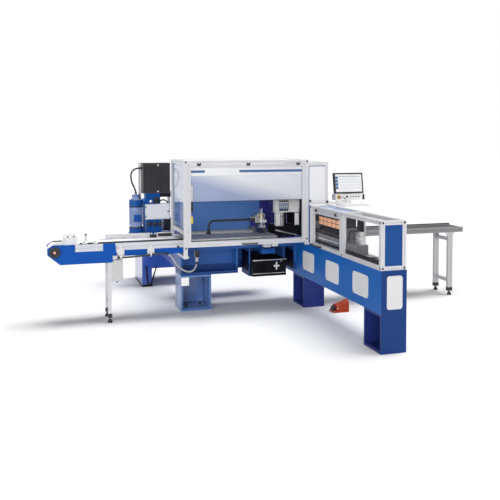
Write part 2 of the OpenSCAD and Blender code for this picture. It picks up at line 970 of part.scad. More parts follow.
module arm_guard_frame() {
    sides = [arm_x, arm_x1 - bar_w];
    low = [guard_z + gap, guard_z + bar_w];
    high = [guard_top - bar_w, guard_top];
    across = [arm_x + bar_w + gap, sides[1] - gap];
    posts = [guard_y0, guard_mid - bar_w / 2, guard_y1 - bar_w];
    color("#e8e8ea") {
        for (x = sides, y = posts) bar_z([x, x + bar_w], [y, y + bar_w], [guard_z + gap, guard_top]);
        for (x = sides, i = [0, 1])
            bar_y([x, x + bar_w], [posts[i] + bar_w + gap, posts[i + 1] - gap], high);
        bar_y([sides[0], sides[0] + bar_w], [posts[0] + bar_w + gap, posts[1] - gap], low);
        for (i = [0, 1]) bar_y([sides[1], arm_x1], [posts[i] + bar_w + gap, posts[i + 1] - gap], low);
        for (y = posts) bar_x(across, [y, y + bar_w], high);
        bar_x(across, [guard_y0, guard_y0 + bar_w], low);
    }
}

module arm_guard_panes() {
    mid_y = guard_mid - bar_w / 2;
    edge = bar_w - pane_in;
    bays = [[guard_y0 + edge, mid_y + pane_in], [mid_y + edge, guard_y1 - edge]];
    mid = (bar_w - pane_t) / 2;
    z = [guard_z + edge, guard_top - edge];
    color("#b9d4ea", 0.4) {
        for (b = bays) {
            span([arm_x1 - mid - pane_t, arm_x1 - mid], b, z);
            slot_pane([arm_x + edge, arm_x1 - edge], b, [guard_top - mid - pane_t, guard_top - mid]);
        }
        span([arm_x + mid, arm_x + mid + pane_t], bays[0], z);
    }
}

module infill_panels() {
    color("#2a5fb8") {
        // Lower back wall of the enclosure
        span([enc_x + bar_w + gap, head_x0 - wall_end], back_wall_y,
            [pass_h + guard_clear, pass_h + wall_rise_top]);
        // Back wall of the bay over the arm
        span([enc_x1 + gap, bay_x1 - bar_w - gap], back_wall_y,
            [arm_top + guard_clear, bay_top_z - bar_w - gap]);
        // End wall of the arm's guard
        span([arm_x + bar_w + gap, arm_x1 - bar_w - gap],
            [guard_y0 + end_wall_in, guard_y0 + end_wall_in + sheet_t],
            [guard_z + bar_w + gap, guard_top - bar_w - gap]);
    }
}

// A framed flap of slotted bars in the XZ plane: outer width, height, depth, lower rail height
module flap_frame(w, h, d, low) {
    for (x = [0, w - stile_w]) bar_z([x, x + stile_w], [0, d], [0, h]);
    bar_x([stile_w + gap, w - stile_w - gap], [0, d], [0, low]);
    bar_x([stile_w + gap, w - stile_w - gap], [0, d], [h - stile_w, h]);
}

// Bow handle along X with two feet, its back at Y = 0
module bow_handle(l) {
    foot_w = 2 * handle_r;
    for (x = [0, l - foot_w]) translate([x, -handle_out, 0]) cube([foot_w, handle_out, foot_w]);
    rod_x([0, -handle_out, handle_r], handle_r, l);
}

// Door leaf of a hinge: plate behind Y = 0 and a knuckle around the X axis above it
module hinge_leaf() {
    difference() {
        union() {
            span([-knuckle_w, knuckle_w], [hinge_off - leaf_t, hinge_off - gap],
                [-leaf_drop, -hinge_r - gap]);
            rod_x([-knuckle_w / 2, 0, 0], hinge_r, knuckle_w);
            span([-knuckle_w / 2, knuckle_w / 2], [0, hinge_off - gap], [-hinge_r - over, 0]);
        }
        rod_x([-knuckle_w, 0, 0], pin_r + gap, 2 * knuckle_w);
    }
}

// Frame leaf of a hinge: plate, two knuckles and the pin
module hinge_fixed() {
    for (x = [-knuckle_w - gap, knuckle_w / 2 + gap]) {
        rod_x([x, 0, 0], hinge_r, knuckle_w / 2);
        span([x, x + knuckle_w / 2], [hinge_off - leaf_t, hinge_off - gap], [0, leaf_rise]);
    }
    rod_x([-knuckle_w, 0, 0], pin_r, 2 * knuckle_w);
}

function door_hinges() = [door_x0 + door_hinge_in[0], (door_x0 + door_x1) / 2, door_x1 - door_hinge_in[1]];
function arm_hinges() = [arm_door_y0 + arm_hinge_in, arm_door_y1 - arm_hinge_in];

module arm_door_frame() {
    color("#e8e8ea") translate([arm_x, arm_door_y1, arm_door_low]) rotate([0, 0, -90])
        flap_frame(arm_door_y1 - arm_door_y0, arm_door_top - arm_door_low, flap_d, bar_w);
}

module arm_door_pane() {
    mid = arm_x + (flap_d - pane_t) / 2;
    edge = stile_w - pane_in;
    color("#b9d4ea", 0.4) span([mid, mid + pane_t], [arm_door_y0 + edge, arm_door_y1 - edge],
        [arm_door_low + bar_w - pane_in, arm_door_top - edge]);
}

module arm_door_fittings() {
    color("#17171a") {
        translate([arm_x - gap, arm_door_y1 - arm_handle_in, guard_z + arm_handle_rise]) rotate([0, 0, -90])
            bow_handle(arm_handle_l);
        for (y = arm_hinges()) translate([arm_hinge_x, y, arm_hinge_z]) rotate([0, 0, -90]) hinge_leaf();
    }
}

module magazine_carriage() {
    base = arm_top + rail_h + gap;
    bed = base + mag_plate_t - over;
    x = [arm_x + mag_in, arm_x1 - mag_in];
    inner = [x[0] + mag_step, x[1] - mag_step];
    y0 = guard_mid - mag_lap;
    rack_y = [guard_y1 - rack_l, guard_y1];
    top = pass_h + mag_tower_rise;
    color("#77797d") {
        span(x, [y0, guard_y1], [base, base + mag_plate_t]);
        // Drive block and the tall end plate
        span(inner, [y0 + mag_block_y[0], y0 + mag_block_y[1]], [bed, pass_h + mag_block_rise]);
        span(inner, [y0 + mag_tower_y[0], y0 + mag_tower_y[1]], [bed, top]);
        // Lower tool beam and the upper tool plate on its end plates
        span(inner, rack_y, [bed, pass_h + rack_rise]);
        for (y = [rack_y[0], rack_y[1] - rack_plate_t])
            span(inner, [y, y + rack_plate_t], [pass_h + rack_rise - over, top]);
        difference() {
            span(inner, rack_y, [top - rack_top_t, top]);
            for (i = [0 : tool_count - 1])
                translate([arm_x + arm_w / 2, guard_y1 - tool_in - tool_pitch * i, top - rack_top_t - over])
                    cylinder(r = tool_hole_r, h = rack_top_t + 2 * over);
        }
    }
}

module punch_tools() {
    color("#c8794f") for (i = [0 : tool_count - 1])
        translate([arm_x + arm_w / 2, guard_y1 - tool_in - tool_pitch * i, pass_h + rack_rise + gap]) {
            cylinder(r = tool_foot_r, h = tool_foot_h);
            for (k = [0 : tool_rings - 1])
                translate([0, 0, tool_foot_h + tool_ring_h * k + tool_ring_gap / 2])
                    cylinder(r = tool_ring_r, h = tool_ring_h - tool_ring_gap);
            cylinder(r = tool_core_r, h = tool_h);
        }
}

module enclosure_frame() {
    left = [enc_x, enc_x + bar_w];
    right = [enc_x1 - bar_w, enc_x1];
    front = [enc_y, enc_y + bar_w];
    back = [enc_back - bar_w, enc_back];
    top = [total_h - bar_w, total_h];
    bay = [bay_x1 - bar_w, bay_x1];
    bay_bar = [bay_top_z - bar_w, bay_top_z];
    between_y = [front[1] + gap, back[0] - gap];
    across = [left[1] + gap, right[0] - gap];
    bay_across = [enc_x1 + gap, bay[0] - gap];
    color("#e8e8ea") {
        // Main posts, with brackets from the left posts to the base and a foot on the arm
        bar_z(left, front, [post_low, total_h]);
        bar_z(left, back, [post_low, total_h]);
        bar_z(right, front, [arm_top + bracket_h + gap, total_h]);
        span([right[0], right[0] + post_foot_w], front, [arm_top + gap, arm_top + bracket_h]);
        bar_z(right, back, [base_h + gap, total_h]);
        span([enc_x, base_x + bracket_in], [front[1] + gap, base_y - gap], [post_low, post_low + bracket_h]);
        span([left[1] + gap, base_x - gap], [back[0], base_back], [post_low, base_h]);
        bar_y(left, between_y, [wall_low, wall_low + bar_w]);
        // Top ring
        bar_x(across, front, top);
        bar_x(across, back, top);
        bar_y(left, between_y, top);
        bar_y(right, between_y, top);
        // Covered bay over the arm
        bar_z(bay, front, [guard_top + guard_clear, bay_top_z]);
        bar_z(bay, back, [arm_top + gap, bay_top_z]);
        bar_x(bay_across, front, bay_bar);
        bar_x(bay_across, back, bay_bar);
        bar_y(bay, between_y, bay_bar);
    }
}

module enclosure_panes() {
    mid = (bar_w - pane_t) / 2;
    edge = bar_w - pane_in;
    deep = [enc_y + edge, enc_back - edge];
    color("#b9d4ea", 0.4) {
        span([enc_x + mid, enc_x + mid + pane_t], deep, [wall_low + edge, total_h - edge]);
        span([enc_x + edge, press_x0 - table_in], [enc_back - mid - pane_t, enc_back - mid],
            [pass_h + wall_rise_top + gap, total_h - edge]);
        span([bay_x1 - mid - pane_t, bay_x1 - mid], deep, [guard_top + guard_clear, bay_top_z - edge]);
    }
}

module cover_panels() {
    deep = [enc_y + bar_w + gap, enc_back - bar_w - gap];
    bay = [enc_x1 + gap, bay_x1 - bar_w - gap];
    color("#f0f0f2") {
        // Roof sheets and the white cover in front of the bay
        span([enc_x + bar_w + gap, enc_x1 - bar_w - gap], deep,
            [total_h - roof_set, total_h - roof_set + sheet_t]);
        span(bay, deep, [bay_top_z - roof_set, bay_top_z - roof_set + sheet_t]);
        span(bay, [enc_y + cover_set, enc_y + cover_set + sheet_t],
            [guard_top + guard_clear, bay_top_z - bar_w - gap]);
    }
}

module door_frame() {
    color("#f0f0f2") translate([door_x0, enc_y, door_low])
        flap_frame(door_x1 - door_x0, door_top - door_low, door_y1 - enc_y, rail_low_h);
}

module door_panes() {
    mid = (enc_y + door_y1 - pane_t) / 2;
    edge = stile_w - pane_in;
    x = [door_x0 + edge, door_x1 - edge];
    color("#c6d6ea", 0.4) {
        span(x, [mid, mid + pane_t], [frost_low + gap, door_top - edge]);
        span(x, [mid, mid + pane_t], [door_low + rail_low_h - pane_in, frost_low]);
    }
}

module door_fittings() {
    color("#17171a") {
        translate([door_x0 + door_handle_x, enc_y - gap, door_low + handle_rise]) bow_handle(door_handle_l);
        for (x = door_hinges()) translate([x, hinge_y, hinge_z]) hinge_leaf();
    }
}

module hinge_knuckles() {
    color("#17171a") {
        for (x = door_hinges()) translate([x, hinge_y, hinge_z]) hinge_fixed();
        for (y = arm_hinges()) translate([arm_hinge_x, y, arm_hinge_z]) rotate([0, 0, -90]) hinge_fixed();
    }
}

module safety_switch() {
    x0 = enc_x + bar_w + gap;
    y0 = enc_y + bar_w + gap;
    color("#ddc82e") {
        span([x0 - switch_lap, x0 + switch_w], [y0, y0 + leaf_t], [switch_z, switch_z + switch_h]);
        span([x0, x0 + switch_w], [y0 + leaf_t - over, y0 + switch_d], [switch_z, switch_z + switch_body_h]);
        span([x0 + leaf_t, x0 + switch_w - leaf_t], [y0 + leaf_t - over, y0 + switch_d - leaf_t],
            [switch_z + switch_body_h - over, switch_z + switch_h]);
    }
}

module conveyor_beams() {
    color("#e2e2e4") {
        for (y = [infeed_y0, infeed_y1 - bar_w]) difference() {
            bar_x([axle_x + beam_in, base_x - gap], [y, y + bar_w], [beam_z, beam_top]);
            rod_y([idler_x, y - over, axle_z], axle_r + fit, bar_w + 2 * over);
        }
        for (y = [outfeed_y0, outfeed_y1 - bar_w])
            bar_x([outfeed_x0, outfeed_x1], [y, y + bar_w], [outfeed_z0, outfeed_z1]);
        // Carrier bolted to the side of the arm
        span([arm_x1 + gap, arm_x1 + carrier_w], [outfeed_y0, outfeed_y1],
            [arm_top - carrier_drop, outfeed_z0 - gap]);
    }
}

module infeed_belt() {
    r = pulley_r + belt_t;
    w = infeed_w - 2 * bar_w - 2 * belt_in;
    x = [axle_x, idler_x];
    color("#26262a") translate([0, infeed_y0 + bar_w + belt_in, 0]) difference() {
        union() {
            span(x, [0, w], [axle_z - r, axle_z + r]);
            for (end = x) rod_y([end, 0, axle_z], r, w);
        }
        span(x, [-over, infeed_w], [axle_z - pulley_r - gap, axle_z + pulley_r + gap]);
        for (end = x) rod_y([end, -over, axle_z], pulley_r + gap, infeed_w);
    }
}

// A pulley with its axle, which reaches past the side plates by the given length
module pulley(x, reach) {
    rod_y([x, infeed_y0 + bar_w + pulley_in, axle_z], pulley_r, infeed_w - 2 * bar_w - 2 * pulley_in);
    rod_y([x, infeed_y0 - reach, axle_z], axle_r, infeed_w + 2 * reach);
}

module drive_pulley() {
    color("#8a8d92") pulley(axle_x, drive_reach);
}

module idler_pulley() {
    color("#8a8d92") pulley(idler_x, idler_reach);
}

// Outline of the infeed head's side plate, in X and Z
module head_outline() {
    tall = beam_top + head_rise;
    low = beam_z - head_rise;
    foot = beam_z - head_foot;
    notch = [for (share = notch_shares) along_infeed(share)];
    right = along_infeed(head_share);
    polygon([[x_left, axle_z - head_tip[0]], [x_left, axle_z + head_tip[1]],
        [along_infeed(chamfer_share), tall], [notch[0], tall], [notch[0], low], [notch[1], low],
        [notch[1], tall], [right - head_slope, tall], [right, axle_z - head_heel],
        [along_infeed(head_share - heel_share), foot], [along_infeed(toe_share), foot]]);
}

module head_plates() {
    color("#1f5fc4") {
        for (y = [infeed_y0 - sheet_t - gap, infeed_y1 + gap]) difference() {
            translate([0, y + sheet_t, 0]) rotate([90, 0, 0]) linear_extrude(sheet_t) head_outline();
            rod_y([axle_x, y - over, axle_z], axle_r + fit, sheet_t + 2 * over);
        }
        // Folded skirts under the beams
        difference() {
            for (shares = skirt_shares, side = [0, 1])
                translate([0, side == 0 ? infeed_y0 : infeed_y1, 0]) mirror([0, side, 0]) {
                    x = [along_infeed(shares[0]), along_infeed(shares[1])];
                    span(x, [sheet_t, 2 * sheet_t], [tray_z0, tray_z1]);
                    span(x, [sheet_t, bar_w], [tray_z1 - sheet_t, tray_z1]);
                }
            rod_y([idler_x, infeed_y0, axle_z], axle_r + fit, infeed_w);
        }
    }
}

module head_flange() {
    y = infeed_y0 - sheet_t - 2 * gap - flange_h;
    color("#2a2b30") difference() {
        rod_y([axle_x, y, axle_z], flange_r, flange_h);
        rod_y([axle_x, y - over, axle_z], axle_r + fit, flange_h + 2 * over);
        for (i = [0 : flange_bolts - 1])
            translate([axle_x, y - over, axle_z]) rotate([0, i * 360 / flange_bolts, 0])
                rod_y([flange_pcd_r, 0, 0], flange_hole_r, flange_h + 2 * over);
    }
}

module infeed_guides() {
    color("#dcdcde") {
        // Side guard along the far beam
        span([along_infeed(guide_shares[0]), along_infeed(guide_shares[1])],
            [infeed_y1 + guide_out[0], infeed_y1 + guide_out[1]], [pass_h + guide_z[0], pass_h + guide_z[1]]);
        for (share = guide_bracket_shares) translate([along_infeed(share), 0, beam_top])
            span([0, guide_bracket_w],
                [infeed_y1 - bar_w + guide_bracket_in, infeed_y1 + guide_out[0] + over],
                [gap, guide_bracket_t]);
        // Clamp brackets on the near beam
        for (share = clamp_shares) translate([along_infeed(share), infeed_y0, 0])
            span([0, clamp_w], [-clamp_t, -gap], [tray_z0, beam_top - clamp_drop]);
        // Bridge with stops over the belt
        bridge = [along_infeed(bridge_shares[0]), along_infeed(bridge_shares[1])];
        for (y = [infeed_y0, infeed_y1 - bar_w])
            span(bridge, [y + bridge_in, y + bar_w - bridge_in], [beam_top + gap, pass_h + bridge_z[0]]);
        span(bridge, [infeed_y0 + bridge_in, infeed_y1 - bridge_in],
            [pass_h + bridge_z[0] - over, pass_h + bridge_z[1]]);
    }
}

// Two legs of one width under a pair of beams, with two bars between them
module leg_pair(x, w, y, top) {
    bar_start = (w - bar_w) / 2;
    for (side = [y[0], y[1] - bar_w]) bar_z([x, x + w], [side, side + bar_w], [foot_h + gap, top - gap]);
    for (share = leg_bar_shares) translate([x + bar_start, 0, foot_h + share * (top - foot_h - bar_w)])
        bar_y([0, bar_w], [y[0] + bar_w + gap, y[1] - bar_w - gap], [0, bar_w]);
}

module conveyor_legs() {
    color("#dcdcde") {
        leg_pair(leg_x0, infeed_leg_w, [infeed_y0, infeed_y1], beam_z);
        leg_pair(out_leg_x, out_leg_w, [outfeed_y0, outfeed_y1], outfeed_z0);
    }
}

function hose_route() = concat(
    [for (i = [0 : len(hose_shares) - 1])
        [along_infeed(hose_shares[i]), infeed_y0 - hose_out, pass_h - hose_drops[i]]],
    [for (p = hose_turn) [base_x + p.x, p.y, pass_h + p.z]]);

module control_boxes() {
    start = hose_route()[0];
    plug = hose_route()[len(hose_route()) - 1];
    color("#c4c4c6") {
        // Junction box on the infeed's leg
        translate([leg_x0 + infeed_leg_w, infeed_y0, pass_h])
            span([gap, junction_w], [0, junction_d], [-junction_z[0], -junction_z[1]]);
        // Plug housing on the base beam
        translate([plug.x, plug.y, plug.z + neck_gap]) cylinder(r = plug_r, h = plug_h);
        span([plug.x - plug_box, plug.x + plug_box], [plug.y - plug_box, base_y - gap],
            [plug.z + plug_h, plug.z + plug_h + plug_box_h]);
        // Gland on the infeed head
        rod_x([start.x - gland_l, start.y, start.z], gland_r, gland_l - neck_gap);
        span([start.x - gland_foot_x[0], start.x - gland_foot_x[1]],
            [start.y - gland_foot_out, infeed_y0 - sheet_t - 2 * gap],
            [start.z - gland_foot_h, start.z + gland_foot_h]);
    }
}

module power_hose() {
    color("#3a3a3e") tube(smooth_route(hose_route()), hose_r);
}

module outfeed_bed() {
    color("#d6d7d9") span([outfeed_x0, outfeed_x1], [outfeed_y0 + bar_w + gap, outfeed_y1 - bar_w - gap],
        [outfeed_z1 - bed_z[0], outfeed_z1 - bed_z[1]]);
}

module outfeed_guide() {
    color("#17171a") {
        span([outfeed_x0, x_right], [outfeed_y1 + gap, outfeed_y1 + strip_t],
            [outfeed_z1 - strip_z[0], pass_h + strip_z[1]]);
        for (y = [outfeed_y0, outfeed_y1 - bar_w])
            span([outfeed_x1 + gap, outfeed_x1 + end_cap_t], [y, y + bar_w], [outfeed_z0, outfeed_z1]);
    }
}

module hmi_bracket() {
    color("#55585e") {
        span([bay_x1 + gap, bay_x1 + wall_plate_t], [enc_y, enc_y + bar_w],
            [pivot_z - wall_plate_z[0], pivot_z + wall_plate_z[1]]);
        span([bay_x1 + wall_plate_t - over, pivot_x + shelf_end], [pivot_y - shelf_w, pivot_y + shelf_w],
            [pivot_z - shelf_t, pivot_z - gap]);
        translate([pivot_x, pivot_y, pivot_z - pivot_in]) cylinder(r = pivot_r, h = pivot_l);
    }
}

module hmi_arm() {
    reach = [console_x0 + monitor_w / 2 - pivot_x, (console_front + console_y1) / 2 - pivot_y];
    boom_h = console_z0 - gap - pivot_z;
    color("#8a8d92") translate([pivot_x, pivot_y, pivot_z]) difference() {
        union() {
            cylinder(r = boom_r, h = boom_h);
            rotate([0, 0, atan2(reach.y, reach.x)]) translate([0, -boom_w / 2, 0])
                cube([norm(reach), boom_w, boom_h - boom_step]);
            translate([reach.x, reach.y, 0]) cylinder(r = boom_end_r, h = boom_h);
        }
        translate([0, 0, -over]) cylinder(r = pivot_r + gap, h = boom_h + 2 * over);
    }
}

module hmi_console() {
    riser_y = [console_front + tray_y[1] - riser_w, console_front + tray_y[1]];
    color("#d9dadc") {
        difference() {
            span([console_x0, console_x0 + monitor_w], [console_front, console_y1], [console_z0, console_z1]);
            for (x = button_in)
                rod_y([console_x0 + x, console_front - over, button_z], button_stem_r + fit, button_bore);
        }
        // Keyboard tray on its riser
        span(tray_x, [console_front - tray_y[0], riser_y[1]],
            [console_z0 - tray_z[0], console_z0 - tray_z[1]]);
        for (x = [tray_x[0], tray_x[1] - riser_w])
            span([x, x + riser_w], riser_y, [console_z0 - tray_z[1] - over, console_z0 + over]);
    }
}

module hmi_monitor() {
    color("#1d1e22") translate([console_x0, console_front + monitor_set, console_z1 + monitor_rise])
        rotate([-monitor_tilt, 0, 0]) {
            difference() {
                cube([monitor_w, monitor_t, monitor_h]);
                translate([screen_in, -over, screen_in])
                    cube([monitor_w - 2 * screen_in, screen_d + over, monitor_h - 2 * screen_in]);
            }
            translate([(monitor_w - mount_w) / 2, monitor_t - over, 0]) cube([mount_w, mount_t, mount_h]);
        }
}

// Push button along Y: cap in front of the panel, stem in the panel's bore
module push_button(x, size) {
    rod_y([x, console_front - size[1] - button_gap, button_z], size[0], size[1]);
    rod_y([x, console_front - button_gap - over, button_z], button_stem_r, button_stem_l);
}

module stop_button() {
    color("#b4622c") push_button(console_x0 + button_in[0], stop_size);
}

module start_button() {
    color("#6c6e72") push_button(console_x0 + button_in[1], start_size);
}

function oil_hose_route() = concat([[cooler_x - oil_start[0], motor_y, oil_start[1]]],
    [for (p = oil_turn) [motor_x + p[0], motor_y, p[1]]]);

module pump_motor() {
    hose_end = oil_hose_route()[len(oil_turn)];
    color("#2d63bd") translate([motor_x, motor_y, motor_z]) {
        cylinder(r = motor_r - motor_core, h = motor_h);
        for (i = [0 : motor_fins - 1]) rotate([0, 0, i * 360 / motor_fins])
            translate([0, -fin_t / 2, fin_z]) cube([motor_r, fin_t, fin_h]);
        cylinder(r = motor_r, h = motor_foot_h);
        translate([0, 0, motor_h - motor_cap_h]) cylinder(r = motor_r, h = motor_cap_h);
        translate([0, 0, motor_h - over]) cylinder(r = cowl_r, h = cowl_h);
        // Hose fitting on top
        cylinder(r = fitting_r, h = hose_end.z - motor_z - neck_gap);
    }
}

module oil_tank() {
    shelf = [motor_x - shelf_x[0], cooler_x + shelf_x[1]];
    color("#2357ae") {
        span([stand_x0 - tank_x[0], stand_x0 + stand_w - tank_x[1]],
            [stand_y + tank_y[0], y_back - tank_y[1]], [deck_top + gap, tank_top]);
        span(shelf, [stand_y + shelf_y[0], stand_y + shelf_y[1]], [tank_top, motor_z - gap]);
        span([motor_x + pier_x, shelf[1]], [stand_y + pier_y, stand_y + shelf_y[1]],
            [deck_top + gap, tank_top + over]);
        // Valve manifold under the terminal box and a valve above it
        translate([cooler_x, stand_y, 0]) {
            span(manifold_x, manifold_y, [motor_z, box_z[0] - gap]);
            span(top_valve_x, top_valve_y, [box_z[1] + gap, cooler_z - gap]);
        }
    }
}

module oil_cooler() {
    start = oil_hose_route()[0];
    x1 = cooler_x + cooler_w;
    color("#16161a") {
        difference() {
            span([cooler_x, x1], [cooler_y, cooler_y + cooler_d], [cooler_z, cooler_z + cooler_h]);
            for (x = [cooler_x + cooler_rim_x[0] : rib_pitch : x1 - cooler_rim_x[1]])
                span([x, x + rib_slot], [cooler_y - over, cooler_y + rib_depth],
                    [cooler_z + cooler_rim, cooler_z + cooler_h - cooler_rim]);
        }
        // Hose fitting on the side
        rod_x([start.x + neck_gap, start.y, start.z], fitting_r, cooler_x - start.x);
    }
}

module pack_frame() {
    post_y = [cooler_y + cooler_d - post_w, cooler_y + cooler_d];
    color("#d2d3d6") {
        for (x = [cooler_x - post_w - gap, cooler_x + cooler_w + gap])
            bar_z([x, x + post_w], post_y, [tank_top + gap, cooler_z + cooler_h]);
        // Terminal box between the posts
        translate([cooler_x, stand_y, 0]) span(box_x, box_y, box_z);
    }
}

module hydraulic_hose() {
    color("#17171a") tube(smooth_route(oil_hose_route()), oil_hose_r);
}

// Arch of a hood, standing on its base line, with upright sides below a round top
module arch(w, h) {
    side_h = hood_side_share * h;
    translate([-w / 2, 0]) square([w, side_h]);
    translate([0, side_h]) scale([w / 2, h - side_h]) circle(1);
}

// Hood along X that gets lower and narrower away from its mouth
module hood(w, h, l) {
    translate([l, 0, 0]) rotate([90, 0, -90])
        linear_extrude(l, scale = hood_narrow_shares, slices = 1) arch(w, h);
}

module pedal_housing() {
    hood_l = pedal_w - pedal_back;
    mid = pedal_d / 2;
    color("#d9642a") translate([pedal_x, pedal_y, 0]) difference() {
        union() {
            span([0, pedal_w], [0, pedal_d], [0, pedal_floor]);
            translate([pedal_back, mid, 0]) hood(pedal_d, pedal_h, hood_l);
            // Cheeks that hold the pin, and the block for the cable
            for (y = [0, pedal_d - pedal_wall])
                span([pedal_back, pedal_back + cheek_l], [y, y + pedal_wall], [0, cheek_h]);
            span([0, pedal_back + hood_lap], gland_y, [0, gland_h]);
        }
        difference() {
            translate([pedal_back + pedal_wall, mid, 0])
                hood(pedal_d - 2 * pedal_wall, pedal_h - pedal_wall, hood_l);
            span([0, 2 * pedal_w], [0, pedal_d], [-over, pedal_floor]);
        }
        rod_y([tread_x, -over, tread_z], tread_pin + gap, pedal_d + 2 * over);
    }
}

module pedal_tread() {
    color("#2a2426") translate([pedal_x, pedal_y, 0]) {
        span([tread_x, pedal_w - tread_end], [tread_in, pedal_d - tread_in],
            [tread_z - tread_t / 2, tread_z + tread_t / 2]);
        rod_y([tread_x, tread_pin_in, tread_z], tread_pin, pedal_d - 2 * tread_pin_in);
    }
}

base_front_leg();
base_front_beam();
base_rear_frame();
floor_feet();
feed_table();
linear_rails();
slug_drawer();
feed_carriage();
gripper_body();
gripper_jaw();
carriage_conduit();
press_frame();
press_head();
head_valves();
press_ram();
die_block();
arm_beam();
arm_legs();
arm_plates();
arm_guard_frame();
arm_guard_panes();
infill_panels();
arm_door_frame();
arm_door_pane();
arm_door_fittings();
magazine_carriage();
punch_tools();
enclosure_frame();
enclosure_panes();
cover_panels();
door_frame();
door_panes();
door_fittings();
hinge_knuckles();
safety_switch();
conveyor_beams();
infeed_belt();
drive_pulley();
idler_pulley();
head_plates();
head_flange();
infeed_guides();
conveyor_legs();
control_boxes();
power_hose();
outfeed_bed();
outfeed_guide();
hmi_bracket();
hmi_arm();
hmi_console();
hmi_monitor();
stop_button();
start_button();
pump_motor();
oil_tank();
oil_cooler();
pack_frame();
hydraulic_hose();
pedal_housing();
pedal_tread();
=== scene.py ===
# Dresses the bar punching machine: camera, hoses, finishes, and the small parts that the solids leave out.
import math

import bmesh
import bpy
from mathutils import Matrix, Vector


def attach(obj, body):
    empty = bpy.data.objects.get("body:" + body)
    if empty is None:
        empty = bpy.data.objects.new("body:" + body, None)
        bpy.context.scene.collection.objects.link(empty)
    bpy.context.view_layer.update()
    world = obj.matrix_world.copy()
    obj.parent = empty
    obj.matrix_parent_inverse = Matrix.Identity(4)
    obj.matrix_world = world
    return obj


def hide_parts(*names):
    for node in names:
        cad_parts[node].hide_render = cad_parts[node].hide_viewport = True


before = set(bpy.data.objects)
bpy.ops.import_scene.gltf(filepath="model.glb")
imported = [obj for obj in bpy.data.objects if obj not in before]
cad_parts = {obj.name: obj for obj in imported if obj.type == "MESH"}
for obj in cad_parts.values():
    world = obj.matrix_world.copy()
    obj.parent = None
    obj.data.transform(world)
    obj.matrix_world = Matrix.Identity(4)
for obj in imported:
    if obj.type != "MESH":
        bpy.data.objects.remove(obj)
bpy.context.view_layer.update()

MM = 0.001
X = Vector((1, 0, 0))
Y = Vector((0, 1, 0))
Z = Vector((0, 0, 1))


# Camera, set from the photograph

CAMERA_AT = (-3.050, -8.620, 2.210)
CAMERA_YAW = 17.69
CAMERA_PITCH = -2.25
CAMERA_LENS = 48.23
CAMERA_SHIFT = -0.160


def make_camera():
    data = bpy.data.cameras.new("photo_camera")
    data.lens = CAMERA_LENS
    data.sensor_width = 36
    data.shift_y = CAMERA_SHIFT
    data.clip_end = 200
    camera = bpy.data.objects.new("photo_camera", data)
    camera.location = CAMERA_AT
    camera.rotation_euler = (math.radians(90 + CAMERA_PITCH), 0, math.radians(-CAMERA_YAW))
    bpy.context.scene.collection.objects.link(camera)
    bpy.context.scene.camera = camera


# Finishes. Every one is built from noise in the part's own frame, so it stays put on a moving body.

def wire(node, inputs):
    """Sets each named input of a node, or links it where it is given another node's output."""
    for key, value in inputs.items():
        if isinstance(value, bpy.types.NodeSocket):
            node.id_data.links.new(value, node.inputs[key])
        else:
            node.inputs[key].default_value = value


def node_of(tree, kind, inputs=None, **values):
    """New node with its properties set and its inputs set or linked."""
    node = tree.nodes.new(kind)
    for key, value in values.items():
        setattr(node, key, value)
    wire(node, inputs or {})
    return node


def noise_on(tree, coords, scale, detail=3.0, stretch=(1, 1, 1)):
    place = node_of(tree, "ShaderNodeMapping", {"Scale": stretch, "Vector": coords}).outputs["Vector"]
    noise = node_of(tree, "ShaderNodeTexNoise", {"Scale": scale, "Detail": detail, "Vector": place})
    return noise.outputs["Fac"]


def ramp_between(tree, fac, low, high, start=0.3, end=0.7):
    ramp = node_of(tree, "ShaderNodeValToRGB", {"Fac": fac})
    for stop, place, tone in zip(ramp.color_ramp.elements, (start, end), (low, high)):
        stop.position = place
        stop.color = (*tone, 1)
    return ramp.outputs["Color"]


def range_of(tree, fac, low, high, start=0.3, end=0.7):
    limits = {"From Min": start, "From Max": end, "To Min": low, "To Max": high}
    return node_of(tree, "ShaderNodeMapRange", {"Value": fac, **limits}).outputs["Result"]


def edge_mask(tree, radius):
    """Normal with rounded edges, and a mask that is one on an edge and zero away from it."""
    rounded = node_of(tree, "ShaderNodeBevel", {"Radius": radius}, samples=4).outputs["Normal"]
    flat = node_of(tree, "ShaderNodeNewGeometry").outputs["True Normal"]
    dot = node_of(tree, "ShaderNodeVectorMath", {0: rounded, 1: flat}, operation="DOT_PRODUCT")
    return rounded, range_of(tree, dot.outputs["Value"], 1.0, 0.0, 0.86, 0.995)


def shade(tone, factor):
    """Tone made lighter or darker."""
    return tuple(min(1.0, c * factor) for c in tone)


def place_on(tree):
    """Place of a point in its object's frame."""
    return node_of(tree, "ShaderNodeTexCoord").outputs["Object"]


def axes_of(tree):
    """Outputs X, Y and Z of a point's place in the part's frame."""
    return node_of(tree, "ShaderNodeSeparateXYZ", {"Vector": place_on(tree)}).outputs


def surface(name):
    """New material, with its node tree, its shader and its place coordinates."""
    mat = bpy.data.materials.new(name)
    mat.use_nodes = True
    tree = mat.node_tree
    return mat, tree, tree.nodes["Principled BSDF"], place_on(tree)


def mixed(tree, fac, under, tone):
    """Colour that turns into a tone as the factor grows."""
    mix = node_of(tree, "ShaderNodeMix", {"Factor": fac, "A": under, "B": (*tone, 1)}, data_type="RGBA")
    return mix.outputs["Result"]


def paint_over(mat, fac, tone):
    """Second tone on a finished material, where the factor is one."""
    bsdf = mat.node_tree.nodes["Principled BSDF"]
    under = bsdf.inputs["Base Color"].links[0].from_socket
    wire(bsdf, {"Base Color": mixed(mat.node_tree, fac, under, tone)})


def bumped(tree, height, strength, depth, normal=None):
    """Normal with fine relief, on a given normal or on the surface's own."""
    relief = node_of(tree, "ShaderNodeBump", {"Strength": strength, "Distance": depth, "Height": height})
    if normal:
        wire(relief, {"Normal": normal})
    return relief.outputs["Normal"]


